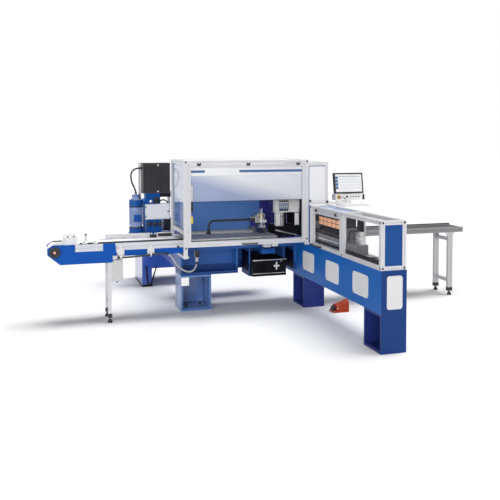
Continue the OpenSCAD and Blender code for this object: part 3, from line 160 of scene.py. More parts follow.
EDGE_PATCH_SCALE = 38.0
GLOSS_SCALE = 11.0
GLOSS_SWING = 0.03
GRAIN_DEPTH = 0.002
COAT_ROUGH = 0.08
GLASS_IOR = 1.45
LINE_BLUR = 0.0005


def finish(name, tone, rough, metal=0.0, mottle=0.10, scale=2.2, grain=700, bump=0.05, stretch=(1, 1, 1),
           edge=0.0016, edge_wear_and_highlight=None, coat=0.0, shine=0.5):
    """Opaque finish: mottled tone, uneven gloss, fine grain, and edges that may turn a lighter tone in
    patches, partly wear and partly painted highlight.
    """
    mat, tree, bsdf, coords = surface(name)
    colour = ramp_between(tree, noise_on(tree, coords, scale, 5.0, stretch),
                          shade(tone, 1 - mottle), shade(tone, 1 + mottle))
    normal = None
    if edge:
        normal, mask = edge_mask(tree, edge)
        # Lighter edges in patches: partly wear and partly a painted edge highlight.
        if edge_wear_and_highlight:
            edge_patches = range_of(tree, noise_on(tree, coords, EDGE_PATCH_SCALE, 4.0), 0.15, 1.0, 0.35, 0.6)
            amount = node_of(tree, "ShaderNodeMath", {0: mask, 1: edge_patches}, operation="MULTIPLY")
            colour = mixed(tree, amount.outputs["Value"], colour, edge_wear_and_highlight)
    gloss = noise_on(tree, coords, GLOSS_SCALE, 4.0, stretch)
    fine = noise_on(tree, coords, grain, 2.0, stretch)
    wire(bsdf, {"Base Color": colour, "Metallic": metal, "Specular IOR Level": shine,
                "Roughness": range_of(tree, gloss, rough - GLOSS_SWING, rough + GLOSS_SWING),
                "Normal": bumped(tree, fine, bump, GRAIN_DEPTH, normal),
                "Coat Weight": coat, "Coat Roughness": COAT_ROUGH})
    return mat


def two_tone(name, front, behind, axis, line, rough, metal=0.0):
    """Finish that changes from one tone to another beyond a line across an axis."""
    mat = finish(name, front, rough, metal, mottle=0.04, bump=0.06, shine=0.2)
    tree = mat.node_tree
    beyond = range_of(tree, axes_of(tree)[axis], 0.0, 1.0, line - LINE_BLUR, line + LINE_BLUR)
    paint_over(mat, beyond, behind)
    return mat


def pane_finish(name, tone, clear, grazing, rough, grain=60, bump=0.01):
    """Sheet that lets straight light through, more at right angles than at a glance."""
    mat, tree, bsdf, coords = surface(name)
    patches = noise_on(tree, coords, 1.6)
    glance = node_of(tree, "ShaderNodeFresnel", {"IOR": GLASS_IOR}).outputs["Fac"]
    gloss = noise_on(tree, coords, 7.0, 4.0)
    fine = noise_on(tree, coords, grain, 2.0)
    wire(bsdf, {"Base Color": ramp_between(tree, patches, shade(tone, 0.94), shade(tone, 1.05)),
                "Alpha": range_of(tree, glance, clear, grazing, 0.045, 0.40),
                "Specular IOR Level": 0.25,
                "Roughness": range_of(tree, gloss, rough, rough * 1.6),
                "Normal": bumped(tree, fine, bump, GRAIN_DEPTH / 2)})
    return mat


def graded_pane(name, tone, pale, slope, start, end, **more):
    """Sheet that grows paler along a slanting line across X and Z."""
    mat = pane_finish(name, tone, **more)
    tree = mat.node_tree
    axes = axes_of(tree)
    slant = node_of(tree, "ShaderNodeMath", {0: axes["Z"], 1: slope, 2: axes["X"]}, operation="MULTIPLY_ADD")
    paint_over(mat, range_of(tree, slant.outputs["Value"], 0.0, 1.0, start, end), pale)
    return mat


# Lighter blue for edges: partly wear and partly painted edge highlight.
BLUE_EDGE_WEAR_AND_HIGHLIGHT = (0.10, 0.22, 0.52)
# Dark blue for the arm's front end face: painted shade.
ARM_END_SHADE = (0.006, 0.042, 0.19)
ARM_END = -2.4325
GRIP_LINE = 1.125
OUTFEED_FROM = 0.63
ALUMINIUM = (0.68, 0.68, 0.70)
MATT_BLACK = (0.006, 0.006, 0.008)
LOOK = {
    "blue": finish("blue_paint", (0.009, 0.080, 0.31), 0.32, grain=520, edge_wear_and_highlight=BLUE_EDGE_WEAR_AND_HIGHLIGHT, shine=0.16),
    # Arm: its front end is painted darker as painted shade, and its long sides lighter as painted light. Its
    # legs are painted dark all over as painted shade.
    "arm": two_tone("blue_arm_paint_shaded_end_lit_sides", ARM_END_SHADE, (0.009, 0.115, 0.43), "Y", ARM_END, 0.32),
    "arm_leg": two_tone("blue_arm_leg_paint_shaded", ARM_END_SHADE, (0.018, 0.032, 0.18), "Y", ARM_END, 0.36),
    "plates": finish("blue_head_paint", (0.006, 0.082, 0.40), 0.32, mottle=0.08, grain=520,
                     edge_wear_and_highlight=BLUE_EDGE_WEAR_AND_HIGHLIGHT, shine=0.10),
    # Base leg: a lighter copy of the base's blue, painted light for its lit faces.
    "leg": finish("blue_leg_paint_lightened", (0.062, 0.165, 0.43), 0.40, grain=520, edge_wear_and_highlight=BLUE_EDGE_WEAR_AND_HIGHLIGHT, coat=1.0),
    "cyan": finish("light_blue_knob", (0.02, 0.25, 0.70), 0.34, mottle=0.06, scale=30),
    # Motor: pale grey-blue, partly the motor's own blue and partly painted highlight from its lit side.
    "motor": finish("blue_motor_enamel_and_painted_highlight", (0.28, 0.36, 0.58), 0.36, scale=9, grain=420, bump=0.08,
                    edge_wear_and_highlight=(0.30, 0.38, 0.58), shine=0.3),
    "rear": finish("blue_rear_paint", (0.020, 0.074, 0.40), 0.34, grain=520,
                   edge_wear_and_highlight=(0.12, 0.20, 0.52), shine=0.4, coat=1.0),
    # Front beam: the part below the line is painted darker, as painted shade under the table.
    "front": two_tone("blue_front_paint_shaded_below", (0.013, 0.050, 0.20), (0.030, 0.110, 0.37), "Z", 0.583, 0.34),
    "feet_alu": two_tone("anodised_legs", ALUMINIUM, (0.55, 0.54, 0.55), "X", OUTFEED_FROM, 0.40, 0.25),
    "rail_alu": finish("dull_aluminium", (0.52, 0.52, 0.535), 0.40, 0.25, mottle=0.05, grain=160,
                       bump=0.04),
    # Near-black colour for the bay sheets: painted shade for the dark recesses of the drawer bay.
    "bay": finish("painted_bay_shade", (0.006, 0.007, 0.030), 0.6, mottle=0.15, grain=600, bump=0.08,
                  shine=0.1),
    "bare": finish("bare_leg_plate_paint", (0.95, 0.95, 0.93), 0.40, mottle=0.03),
    # Navy: the blue paint darkened, as painted shade, for the press frame and the parts given this look.
    "deep": finish("blue_paint_shaded_navy", (0.050, 0.046, 0.30), 0.62, mottle=0.08, grain=520,
                   edge_wear_and_highlight=(0.06, 0.07, 0.26), shine=0.12),
    "pitch": finish("matt_black_press_paint", MATT_BLACK, 0.75, mottle=0.15, grain=620, bump=0.12,
                    edge_wear_and_highlight=(0.05, 0.05, 0.06), shine=0.06),
    "wall": two_tone("blue_panel", (0.010, 0.070, 0.27), (0.110, 0.255, 0.64), "Y", -2.0, 0.45),
    "alu": finish("anodised_aluminium", ALUMINIUM, 0.40, 0.25, mottle=0.04, grain=160, bump=0.04,
                  edge=0.0010, edge_wear_and_highlight=(0.9, 0.9, 0.92)),
    "white": finish("white_powder_coat", (0.80, 0.80, 0.81), 0.40, mottle=0.03, bump=0.07, coat=0.1),
    "plate": finish("white_cover_plate", (0.70, 0.70, 0.71), 0.42, mottle=0.04, bump=0.06),
    "black": finish("black_moulded_plastic", (0.012, 0.012, 0.014), 0.48, mottle=0.15, grain=900,
                    bump=0.12, edge_wear_and_highlight=(0.09, 0.09, 0.095)),
    "black_paint": finish("black_textured_paint", MATT_BLACK, 0.50, mottle=0.15, grain=620,
                          bump=0.15, edge_wear_and_highlight=(0.10, 0.10, 0.11), shine=0.08),
    "cooler": finish("cooler_fin_paint", (0.055, 0.052, 0.058), 0.46, mottle=0.15, grain=620,
                     bump=0.15, edge_wear_and_highlight=(0.12, 0.12, 0.13), shine=0.15),
    "steel": finish("ground_steel", (0.56, 0.57, 0.58), 0.28, 0.95, mottle=0.07, scale=9,
                    grain=120, stretch=(0.06, 1, 1), edge_wear_and_highlight=(0.8, 0.8, 0.82)),
    "bright": finish("plated_screw_steel", (0.66, 0.66, 0.66), 0.25, 1.0, mottle=0.08, scale=60,
                     grain=900, edge=0),
    "table": finish("milled_table_iron", (0.39, 0.39, 0.415), 0.36, 0.4, mottle=0.12, scale=5,
                    grain=90, bump=0.06, stretch=(0.05, 1, 1), edge_wear_and_highlight=(0.42, 0.42, 0.45)),
    "bed": finish("dull_outfeed_bed", (0.016, 0.016, 0.018), 0.5, 0.5, scale=6, grain=110,
                  bump=0.06, stretch=(0.06, 1, 1), shine=0.2),
    "dark": finish("blackened_steel", (0.035, 0.035, 0.040), 0.40, 0.6, mottle=0.2, scale=8,
                   grain=300, bump=0.08, edge_wear_and_highlight=(0.24, 0.24, 0.26)),
    "grey": finish("grey_enamel", (0.58, 0.58, 0.59), 0.42, mottle=0.05, grain=680, bump=0.06),
    "press_head": two_tone("press_head_paint", (0.72, 0.71, 0.69), (0.022, 0.020, 0.16), "Y", -0.109, 0.45),
    "gripper": two_tone("gripper_castings", (0.045, 0.055, 0.13), (0.66, 0.62, 0.51),
                        "Z", GRIP_LINE, 0.40, 0.2),
    "carriage": two_tone("carriage_castings", (0.17, 0.17, 0.19), (0.74, 0.74, 0.75),
                         "Z", GRIP_LINE, 0.40, 0.2),
    "tools": two_tone("bronze_tool_set", (0.80, 0.40, 0.25), (0.03, 0.03, 0.034), "Z", 1.272, 0.30, 0.3),
    "rack": two_tone("magazine_castings", (0.17, 0.17, 0.18), (0.02, 0.02, 0.023), "Z", 1.20, 0.45, 0.1),
    "beam": two_tone("conveyor_beam_grey", (0.60, 0.62, 0.66), (0.26, 0.26, 0.27),
                     "X", OUTFEED_FROM, 0.42, 0.3),
    "valve": finish("pale_blue_valve_enamel", (0.30, 0.40, 0.52), 0.34, 0.2, scale=14, grain=500),
    "bronze": finish("bronze_tool", (0.78, 0.36, 0.21), 0.30, 0.6, mottle=0.16, scale=18,
                     grain=140, stretch=(1, 1, 6), edge_wear_and_highlight=(0.86, 0.52, 0.34)),
    "hose": finish("black_hose_rubber", (0.020, 0.020, 0.022), 0.48, mottle=0.2, scale=20, grain=900,
                   bump=0.15, edge=0),
    "flex": finish("grey_flexible_conduit", (0.44, 0.45, 0.47), 0.50, mottle=0.06, scale=20,
                   grain=900, bump=0.08, edge=0),
    "yellow": finish("yellow_switch_plastic", (0.74, 0.55, 0.03), 0.42, mottle=0.06, scale=14,
                     grain=800, bump=0.06),
    "red": finish("brown_red_button", (0.36, 0.17, 0.06), 0.34, scale=40, grain=900),
    "orange": finish("orange_cast_enamel", (0.37, 0.046, 0.017), 0.42, mottle=0.12, scale=10,
                     grain=360, bump=0.12, edge_wear_and_highlight=(0.62, 0.18, 0.08), shine=0.15),
    "stripe": finish("blue_stripe_film", (0.045, 0.115, 0.32), 0.36, mottle=0.05, grain=800,
                     bump=0.02, edge=0),
    "screen": finish("lit_screen_glass", (0.84, 0.85, 0.86), 0.12, mottle=0.05, scale=4, grain=900,
                     bump=0.01, edge=0, coat=0.6),
    "pale_mark": finish("screen_grey_lines", (0.45, 0.46, 0.48), 0.2, mottle=0.03, scale=9,
                        bump=0.01, edge=0),
    "pale_belt": finish("pale_belt_cover", (0.92, 0.91, 0.95), 0.5, mottle=0.06, scale=6, grain=1200,
                        bump=0.1, edge=0),
    "brass": finish("brass_fitting", (0.70, 0.48, 0.16), 0.28, 1.0, scale=60, edge=0),
    "air": finish("pale_air_tube", (0.50, 0.60, 0.78), 0.30, mottle=0.06, scale=40, grain=600,
                  bump=0.03, edge=0),
    "pane": pane_finish("clear_guard_sheet", (0.20, 0.28, 0.50), 0.003, 0.44, 0.03),
    "thin": pane_finish("thin_arm_sheet", (0.70, 0.75, 0.82), 0.002, 0.03, 0.03),
    "frost": graded_pane("frosted_sheet", (0.33, 0.39, 0.57), (0.78, 0.79, 0.83), 3.35, 4.58, 5.34,
                         clear=0.88, grazing=0.97, rough=0.38, grain=900, bump=0.05),
    "tint": pane_finish("pale_blue_film", (0.40, 0.50, 0.72), 0.35, 0.85, 0.20, grain=700, bump=0.02),
    "film": pane_finish("white_film", (0.84, 0.85, 0.86), 0.95, 1.0, 0.36, grain=800, bump=0.03),
}

NODE_LOOK = {
    "leg": ("base_front_leg",),
    "blue": ("oil_tank",),
    "rear": ("base_rear_frame",),
    "front": ("base_front_beam",),
    "arm": ("arm_beam",),
    "arm_leg": ("arm_legs",),
    "plates": ("head_plates",),
    "motor": ("pump_motor",),
    "deep": ("press_frame",),
    "wall": ("infill_panels",),
    "alu": ("arm_guard_frame", "enclosure_frame", "door_frame", "arm_door_frame", "infeed_guides",
            "pack_frame"),
    "feet_alu": ("conveyor_legs",),
    "white": ("cover_panels", "hmi_console", "hmi_bracket", "hmi_arm"),
    "carriage": ("feed_carriage",),
    "press_head": ("press_head",),
    "beam": ("conveyor_beams",),
    "plate": ("arm_plates",),
    "pane": ("enclosure_panes", "door_panes"),
    "thin": ("arm_guard_panes", "arm_door_pane"),
    "black": ("door_fittings", "arm_door_fittings", "hinge_knuckles", "carriage_conduit", "hmi_monitor",
              "outfeed_guide"),
    "black_paint": ("slug_drawer", "floor_feet"),
    "cooler": ("oil_cooler",),
    "pitch": ("die_block",),
    "steel": ("linear_rails", "gripper_jaw", "drive_pulley"),
    "table": ("feed_table",),
    "bed": ("outfeed_bed",),
    "dark": ("head_flange", "idler_pulley", "pedal_tread", "press_ram"),
    "rack": ("magazine_carriage",),
    "grey": ("control_boxes", "start_button"),
    "valve": ("head_valves",),
    "gripper": ("gripper_body",),
    "tools": ("punch_tools",),
    "pale_belt": ("infeed_belt",),
    "hose": ("power_hose", "hydraulic_hose"),
    "yellow": ("safety_switch",),
    "red": ("stop_button",),
    "orange": ("pedal_housing",),
}


def dress_nodes():
    for look, names in NODE_LOOK.items():
        for name in names:
            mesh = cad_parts[name].data
            mesh.materials.clear()
            mesh.materials.append(LOOK[look])


# Shapes. All are given in millimetres in the part's frame.

class Shape:
    def __init__(self):
        self.bm = bmesh.new()
        self.look = 0

    def block(self, x, y, z, cut=1.5):
        """Box between two values on each axis, with chamfered edges."""
        made = bmesh.ops.create_cube(self.bm, size=1)["verts"]
        middle = Vector(((x[0] + x[1]) / 2, (y[0] + y[1]) / 2, (z[0] + z[1]) / 2))
        size = Vector((x[1] - x[0], y[1] - y[0], z[1] - z[0]))
        for v in made:
            v.co = Vector((v.co.x * size.x, v.co.y * size.y, v.co.z * size.z)) + middle
        edges = list(dict.fromkeys(e for v in made for e in v.link_edges))
        cut = min(cut, 0.45 * min(size))
        faces = {f for v in made for f in v.link_faces}
        done = bmesh.ops.bevel(self.bm, geom=edges, offset=cut, segments=2, profile=0.6, affect="EDGES")
        for f in list(done["faces"]) + [f for f in faces if f.is_valid]:
            f.material_index = self.look

    def blocks(self, *rows):
        """Boxes, from rows of two values on X, Y and Z and a chamfer."""
        for x0, x1, y0, y1, z0, z1, cut in rows:
            self.block((x0, x1), (y0, y1), (z0, z1), cut)

    def rings(self, rings):
        """Skin over rings of points. A ring of one point closes the skin there."""
        made = [[self.bm.verts.new(p) for p in ring] for ring in rings]
        for a, b in zip(made, made[1:]):
            count = max(len(a), len(b))
            for k in range(count):
                n = (k + 1) % count
                if len(a) == 1:
                    corners = (a[0], b[n], b[k])
                elif len(b) == 1:
                    corners = (a[k], a[n], b[0])
                else:
                    corners = (a[k], a[n], b[n], b[k])
                self.bm.faces.new(corners).material_index = self.look
        for ring in (made[0], made[-1]):
            if len(ring) > 2:
                self.bm.faces.new(ring).material_index = self.look

    def turn(self, at, out, profile, sides=20):
        """Turned shape: profile lists (distance along out, radius)."""
        out = Vector(out).normalized()
        side = out.orthogonal().normalized()
        lift = out.cross(side)
        at = Vector(at)
        angles = [2 * math.pi * k / sides for k in range(sides)]
        self.rings([[at + out * h + (side * math.cos(a) + lift * math.sin(a)) * r for a in angles]
                    if r > 0 else [at + out * h] for h, r in profile])

    def knob(self, at, out, steps, sides):
        """Turned shape between two flat ends: steps lists (distance along out, radius) above the foot."""
        self.turn(at, out, [(0, steps[0][1]), *steps, (steps[-1][0], 0)], sides)

    def sweep(self, points, radii, sides=12):
        """Tube along points. One radius, or one for each point."""
        points = [Vector(p) for p in points]
        if not isinstance(radii, (list, tuple)):
            radii = [radii] * len(points)
        side = None
        skin = []
        for i, p in enumerate(points):
            along = (points[min(i + 1, len(points) - 1)] - points[max(i - 1, 0)]).normalized()
            across = along.orthogonal() if side is None else side - along * side.dot(along)
            side = across.normalized()
            lift = along.cross(side)
            skin.append([p + (side * math.cos(t) + lift * math.sin(t)) * radii[i]
                         for t in (2 * math.pi * k / sides for k in range(sides))])
        self.rings(skin)

    def slab(self, outline, place, thick, cut=1.0):
        """Flat outline of (u, v) points put in place by a matrix, and made thick along its third axis."""
        inner = shrink(outline, cut)
        layers = ((outline, 0), (outline, thick - cut), (inner, thick))
        self.rings([[place @ Vector((u, v, h)) for u, v in line] for line, h in layers])

    def screw(self, at, out, r):
        """Socket-head screw on a washer."""
        shares = ((0, 1.7), (0.3, 1.7), (0.34, 1), (1.15, 1), (1.35, 0.86), (1.35, 0.5), (0.7, 0.46),
                  (0.7, 0))
        self.turn(at, out, [(r * h, r * wide) for h, wide in shares], 14)

    def bolt(self, at, out, r):
        """Hexagon bolt on a washer."""
        self.turn(at, out, [(0, r * 1.45), (r * 0.22, r * 1.45), (r * 0.24, 0)], 18)
        self.turn(Vector(at) + Vector(out) * r * 0.22, out,
                  [(0, r), (r * 0.75, r), (r * 0.95, r * 0.8), (r * 0.95, 0)], 6)

    def piece(self, name, slot, *looks, body="machine"):
        """Makes an object of what has been built so far, and starts afresh."""
        bmesh.ops.recalc_face_normals(self.bm, faces=self.bm.faces)
        for v in self.bm.verts:
            v.co *= MM
        mesh = bpy.data.meshes.new(name)
        self.bm.to_mesh(mesh)
        self.bm.clear()
        self.look = 0
        for look in looks:
            mesh.materials.append(LOOK[look])
        mesh.polygons.foreach_set("use_smooth", [True] * len(mesh.polygons))
        mesh.set_sharp_from_angle(angle=math.radians(32))
        obj = bpy.data.objects.new(name, mesh)
        bpy.context.scene.collection.objects.link(obj)
        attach(obj, body)
        return obj


def shrink(outline, by):
    """Outline drawn in towards its middle, by a given length at its farthest point."""
    cu = sum(p[0] for p in outline) / len(outline)
    cv = sum(p[1] for p in outline) / len(outline)
    reach = max(max(abs(p[0] - cu), abs(p[1] - cv)) for p in outline)
    share = 1 - by / reach
    return [(cu + (u - cu) * share, cv + (v - cv) * share) for u, v in outline]


def corner_of(leg, end=6):
    """Outline of a corner bracket with two equal legs."""
    return [(0, 0), (leg, 0), (leg, end), (end, leg), (0, leg)]


def round_outline(w, h, r, steps=6):
    """Rectangle with rounded corners, one corner of its box at the origin."""
    points = []
    for cu, cv, start in ((w - r, h - r, 0), (r, h - r, 90), (r, r, 180), (w - r, r, 270)):
        for k in range(steps + 1):
            a = math.radians(start + 90 * k / steps)
            points.append((cu + r * math.cos(a), cv + r * math.sin(a)))
    return points


def facing(origin, u, v):
    """Matrix that puts (u, v, out) at an origin, along two given axes."""
    w = Vector(u).cross(Vector(v))
    return Matrix.Translation(Vector(origin)) @ Matrix((u, v, w)).transposed().to_4x4()


def smooth(points, steps):
    """Smooth curve through the points, as in the part's source."""
    points = [Vector(p) for p in points]
    last = len(points) - 1
    curve = []
    for i in range(last):
        a, b, c, d = (points[max(i - 1, 0)], points[i], points[i + 1], points[min(i + 2, last)])
        for k in range(steps):
            t = k / steps
            curve.append(0.5 * (2 * b + (c - a) * t + (2 * a - 5 * b + 4 * c - d) * t ** 2 +
                                (3 * b - a - 3 * c + d) * t ** 3))
    return curve + [points[last]]


def length_of(points):
    return sum((b - a).length for a, b in zip(points, points[1:]))


def even(points, pitch):
    """Points about one pitch apart along a line."""
    count = max(2, round(length_of(points) / pitch))
    step = length_of(points) / count
    out, need = [points[0]], step
    done = 0.0
    for a, b in zip(points, points[1:]):
        run = (b - a).length
        while done + run >= need - 1e-6 and len(out) < count:
            out.append(a.lerp(b, (need - done) / run))
            need += step
        done += run
    return out + [points[-1]]


# Hoses

HOSE_R = 12
HOSE_ROUTE = [(-2118, -316, 810), (-1982, -316, 807), (-1748, -316, 820), (-1585, -316, 832),
              (-1482, -314, 822), (-1444, -296, 794), (-1414, -246, 754), (-1372, -200, 693),
              (-1297, -150, 602), (-1203, -112, 545.4), (-1153, -92, 532), (-1103, -76, 545),
              (-1066.5, -65, 582), (-1053, -60, 632), (-1053, -60, 660)]
FLEX_FROM = 640
OIL_R = 13
OIL_ROUTE = [(-1508, 1794, 1832), (-1571, 1794, 1830), (-1631, 1794, 1805), (-1661, 1794, 1750),
             (-1662, 1794, 1680), (-1641, 1794, 1590), (-1604, 1794, 1520), (-1586, 1794, 1466),
             (-1586, 1794, 1438)]
VALVE_R = 11
VALVE_ROUTE = [(-1232, 1760, 1300), (-1207, 1767, 1319), (-1182, 1773, 1329), (-1156, 1780, 1330),
               (-1130, 1787, 1322), (-1104, 1793, 1304), (-1078, 1800, 1270)]
AIR_R = 4
HOSE_PITCH = 3.2
STIFFNESS_PASSES = 300
CORD_POINTS = 28
RELIEF_POINTS = 12


def hose_line(route):
    """Even points along a hose. Its corners are rounded off, as a stiff hose does by itself."""
    line = even(smooth(route, 10), HOSE_PITCH)
    for _ in range(STIFFNESS_PASSES):
        inner = [(a + 2 * b + c) / 4 for a, b, c in zip(line, line[1:], line[2:])]
        line = line[:1] + inner + line[-1:]
    return even(line, HOSE_PITCH)


def declare_hose(line, node):
    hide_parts(node)
    even(line, length_of(line) / CORD_POINTS)


def tube_piece(name, body, points, r, look):
    """Short free hose between two points of one body."""
    shape = Shape()
    shape.sweep(even(smooth(points, 6), 8), r, 10)
    shape.piece(name, "hose_rubber", look, body=body)


def make_hoses():
    line = hose_line(HOSE_ROUTE)
    start = round(FLEX_FROM / HOSE_PITCH)
    shape = Shape()
    shape.sweep(line[:start + 1], HOSE_R * 0.96, 16)
    shape.look = 1
    ribs = [HOSE_R if (i // 2) % 2 else HOSE_R * 0.84 for i in range(len(line) - start)]
    shape.sweep(line[start:], ribs, 16)
    hose = shape.piece("infeed_power_hose", "hose_rubber", "hose", "flex")
    declare_hose(line, "power_hose")
    line = hose_line(OIL_ROUTE)
    shape.sweep(even(line, 6), OIL_R, 16)
    hose = shape.piece("cooler_oil_hose", "hose_rubber", "hose")
    declare_hose(line, "hydraulic_hose")


def make_reliefs():
    """Tapered sleeves where the two hoses leave what holds them."""
    shape = Shape()
    taper = [1.55 - 0.5 * i / (RELIEF_POINTS - 1) for i in range(RELIEF_POINTS)]
    for route, r in ((HOSE_ROUTE, HOSE_R), (OIL_ROUTE, OIL_R)):
        line = hose_line(route)
        for end in (line, line[::-1]):
            shape.sweep(end[:RELIEF_POINTS], [r * share for share in taper], 18)
    shape.piece("hose_strain_reliefs", "black_plastic", "black")


# Door and enclosure

DOOR_X = (-1224, 274)
DOOR_FACE = -452.5
BAND_Z = (1809, 1918)
STRIPE_Z = (1845, 1876)
FROST_Z = (1482, 1809)
SEAL_Y = (-453.4, -445.4)
SEAL_Z = (956, 1913)
FILM_CUT = 0.2
FRAME_FACE = -470
BAY_FACE = -462
KEY_BACK = -453.3
SWITCH_X = (-1266, -1224)
SWITCH_FACE = -425.6
COVER_EDGE_Y = (-464.5, -462.2)
END_PLUG = [(0, 12), (1.6, 12), (2.4, 10.5), (2.4, 5), (1.6, 4), (1.6, 0)]
PLUG_SIDES = 24


def make_door_films():
    front = (DOOR_FACE - 0.9, DOOR_FACE - 0.3)
    shape = Shape()
    shape.block(DOOR_X, front, (FROST_Z[0] + 1, FROST_Z[1] - 0.5), FILM_CUT)
    shape.piece("door_frosted_film", "clear_pane", "frost", body="door")
    shape.block(DOOR_X, front, BAND_Z, FILM_CUT)
    shape.piece("door_white_band", "white_paint", "film", body="door")
    ahead = (front[0] - 0.6, front[0] - 0.1)
    for x in ((DOOR_X[0], -1040), (-588, DOOR_X[1])):
        shape.block(x, ahead, STRIPE_Z, FILM_CUT)
    shape.piece("door_stripe", "blue_paint", "stripe", body="door")


def make_door_trim():
    shape = Shape()
    for x in (-1120, -475, 208):
        for dx in (-17, 17):
            shape.screw((x + dx, -474.1, 1938), -Y, 2.2)
    for x in (-548, -356):
        shape.screw((x, -509.0, 929), -Y, 3.0)
    shape.piece("door_screws", "steel", "bright", body="door")
    shape.block((-1220, 270), (-468, SEAL_Y[0]), (952, 980), 2)
    shape.piece("door_drip_rail", "aluminium_bar", "rail_alu", body="door")
    for z in ((956, 964), (1478.5, 1485.5), (1905, 1913)):
        shape.block(DOOR_X, SEAL_Y, z, 1.2)
    for x in ((-1224, -1216), (266, 274)):
        shape.block(x, SEAL_Y, SEAL_Z, 1.2)
    shape.piece("door_seals", "black_plastic", "black", body="door")


def make_door_switch():
    """Actuators of the safety switch on the left stile of the door."""
    shape = Shape()
    for name, slot, look, z in (("switch_yellow_key", "yellow_plastic", "yellow", (1212, 1300)),
                                ("switch_black_key", "black_plastic", "black", (1352, 1480)),
                                ("switch_grey_key", "grey_paint", "grey", (1500, 1690))):
        shape.block((-1226, -1196), (FRAME_FACE, KEY_BACK), z, 2)
        for h in (z[0] + 12, z[1] - 12):
            shape.knob((-1211, FRAME_FACE, h), -Y, [(2, 5), (3, 3.5)], 12)
        shape.piece(name, slot, look, body="door")


def make_frame_trim():
    shape = Shape()
    for x, z in ((-1287.5, 1977), (-1287.5, 900), (337.5, 1977), (337.5, 960)):
        shape.turn((x, FRAME_FACE, z), -Y, END_PLUG, PLUG_SIDES)
    for at in ((383, BAY_FACE, 1454), (628, FRAME_FACE, 1441)):
        shape.knob(at, -Y, [(4, 16), (6, 13), (18, 13), (22, 10)], 20)
    shape.piece("frame_end_plugs", "black_plastic", "black")
    spots = [((-1265, -425, 1115), X, Z), ((-1265, 351, 1115), X, Z), ((315, -425, 1955), -X, -Z),
             ((-1265, -425, 1955), X, -Z)]
    for origin, u, v in spots:
        place = facing(Vector(origin) + Y * 2, u, v)
        shape.slab(corner_of(42), place, 30 if u.cross(v).y > 0 else -30)
    shape.piece("corner_brackets", "steel", "alu")
    for z in (1420, 1660, 1905):
        for x in (372, 583):
            shape.screw((x, BAY_FACE, z), -Y, 4)
    shape.piece("bay_cover_screws", "steel", "bright")
    shape.blocks(
        (361, 372, *COVER_EDGE_Y, 1406, 1921, 0.6),
        (361, 594, *COVER_EDGE_Y, 1911, 1921, 0.6),
        (361, 399, -469, -426, 904.4, 1400, 2))
    shape.piece("bay_cover_edges", "blue_paint", "stripe")


def make_switch_covers():
    shape = Shape()
    shape.block(SWITCH_X, (SWITCH_FACE, -385), (1322, 1392), 2)
    shape.block((-1262, -1228), (-424, -388), (1318, 1326), 2)
    shape.piece("switch_black_head", "black_plastic", "black")
    shape.block(SWITCH_X, (SWITCH_FACE, -388), (1400, 1492), 2)
    for z in (1412, 1480):
        shape.knob((-1245, SWITCH_FACE, z), -Y, [(1.5, 4), (2, 3)], 12)
    shape.piece("switch_grey_body", "grey_paint", "grey")


# Base and arm

GUARD_X = (383.5, 638.5)
GUARD_Z = (1381.5, 902.5)
GUARD_SIDE = 361
OPEN_PLUG = [(0, 12), (1.6, 12), (2.4, 10), (2.4, 5), (1.6, 4), (1.6, 0)]
FLAT_PLUG = [(0, 12), (1.6, 12), (2.4, 10), (2.4, 0)]


def bead(shape, a, b, r=5):
    """Weld bead with ripples, between two points."""
    line = even([Vector(a), Vector(b)], 7)
    shape.sweep(line, [r * (1.0 if i % 2 else 0.86) for i in range(len(line))], 8)


def make_welds():
    shape = Shape()
    for x in (-1231, -875):
        bead(shape, (x, 333, 32), (x, 333, 443))
        bead(shape, (x, -10, 32), (x, 333, 32))
    for z in (32, 443):
        bead(shape, (-1231, 333, z), (-875, 333, z))
    bead(shape, (-1258, -13, 470), (-848, -13, 470), 4)
    for x in (-1231, -505):
        bead(shape, (x, 133, 512), (x, 133, 798))
    for z in (512, 798):
        bead(shape, (-1231, 133, z), (-505, 133, z))
    for y0, y1 in ((-2409, -2072), (-282, 55)):
        for y in (y0 + 2, y1 - 2):
            bead(shape, (634, y, 32), (634, y, 391))
        for z in (32, 391):
            bead(shape, (634, y0, z), (634, y1, z))
    for y0 in (-2434, -307):
        bead(shape, (363, y0, 418), (363, y0 + 387, 418), 4)
    shape.piece("weld_beads", "blue_paint", "blue")


def make_anchors():
    shape = Shape()
    spots = [(-1148, 172.5), (-958, 172.5)] + [(511, y) for y in (-2324, -2157, -197, -30)]
    for x, y in spots:
        shape.turn((x, y, 30), Z, [(0, 22), (4, 22), (4.2, 0)], 24)
        shape.knob((x, y, 34), Z, [(14, 17), (16, 15)], 6)
        shape.knob((x, y, 50), Z, [(22, 9.5), (24, 8)], 16)
    shape.piece("floor_anchors", "steel", "dark")


def make_leg_plate():
    shape = Shape()
    place = facing((-1254, -15.2, 338), X, Z)
    shape.slab(round_outline(104, 110, 5), place, 2.2, 0.6)
    shape.piece("leg_bare_plate", "white_paint", "bare")


# Thin near-black sheets on the rib faces and the back of the drawer bay: painted shade in its recesses.
def make_bay_painted_shade():
    shape = Shape()
    shape.blocks(
        (-316.9, -314.8, 12, 332, 472, 740, 0.6),
        (334.6, 336.3, 12, 320, 472, 730, 0.6),
        (-300, 150, 333.4, 335.4, 560, 700, 0.6))
    shape.piece("drawer_bay_painted_shade", "black_paint", "bay")


def make_arm_screws():
    shape = Shape()
    for y0 in (-657, -1401, -2145):
        for dy in (22, 348):
            for z in (548, 754):
                shape.screw((354.7, y0 + dy, z), -X, 4.2)
    shape.piece("arm_plate_screws", "steel", "bright")


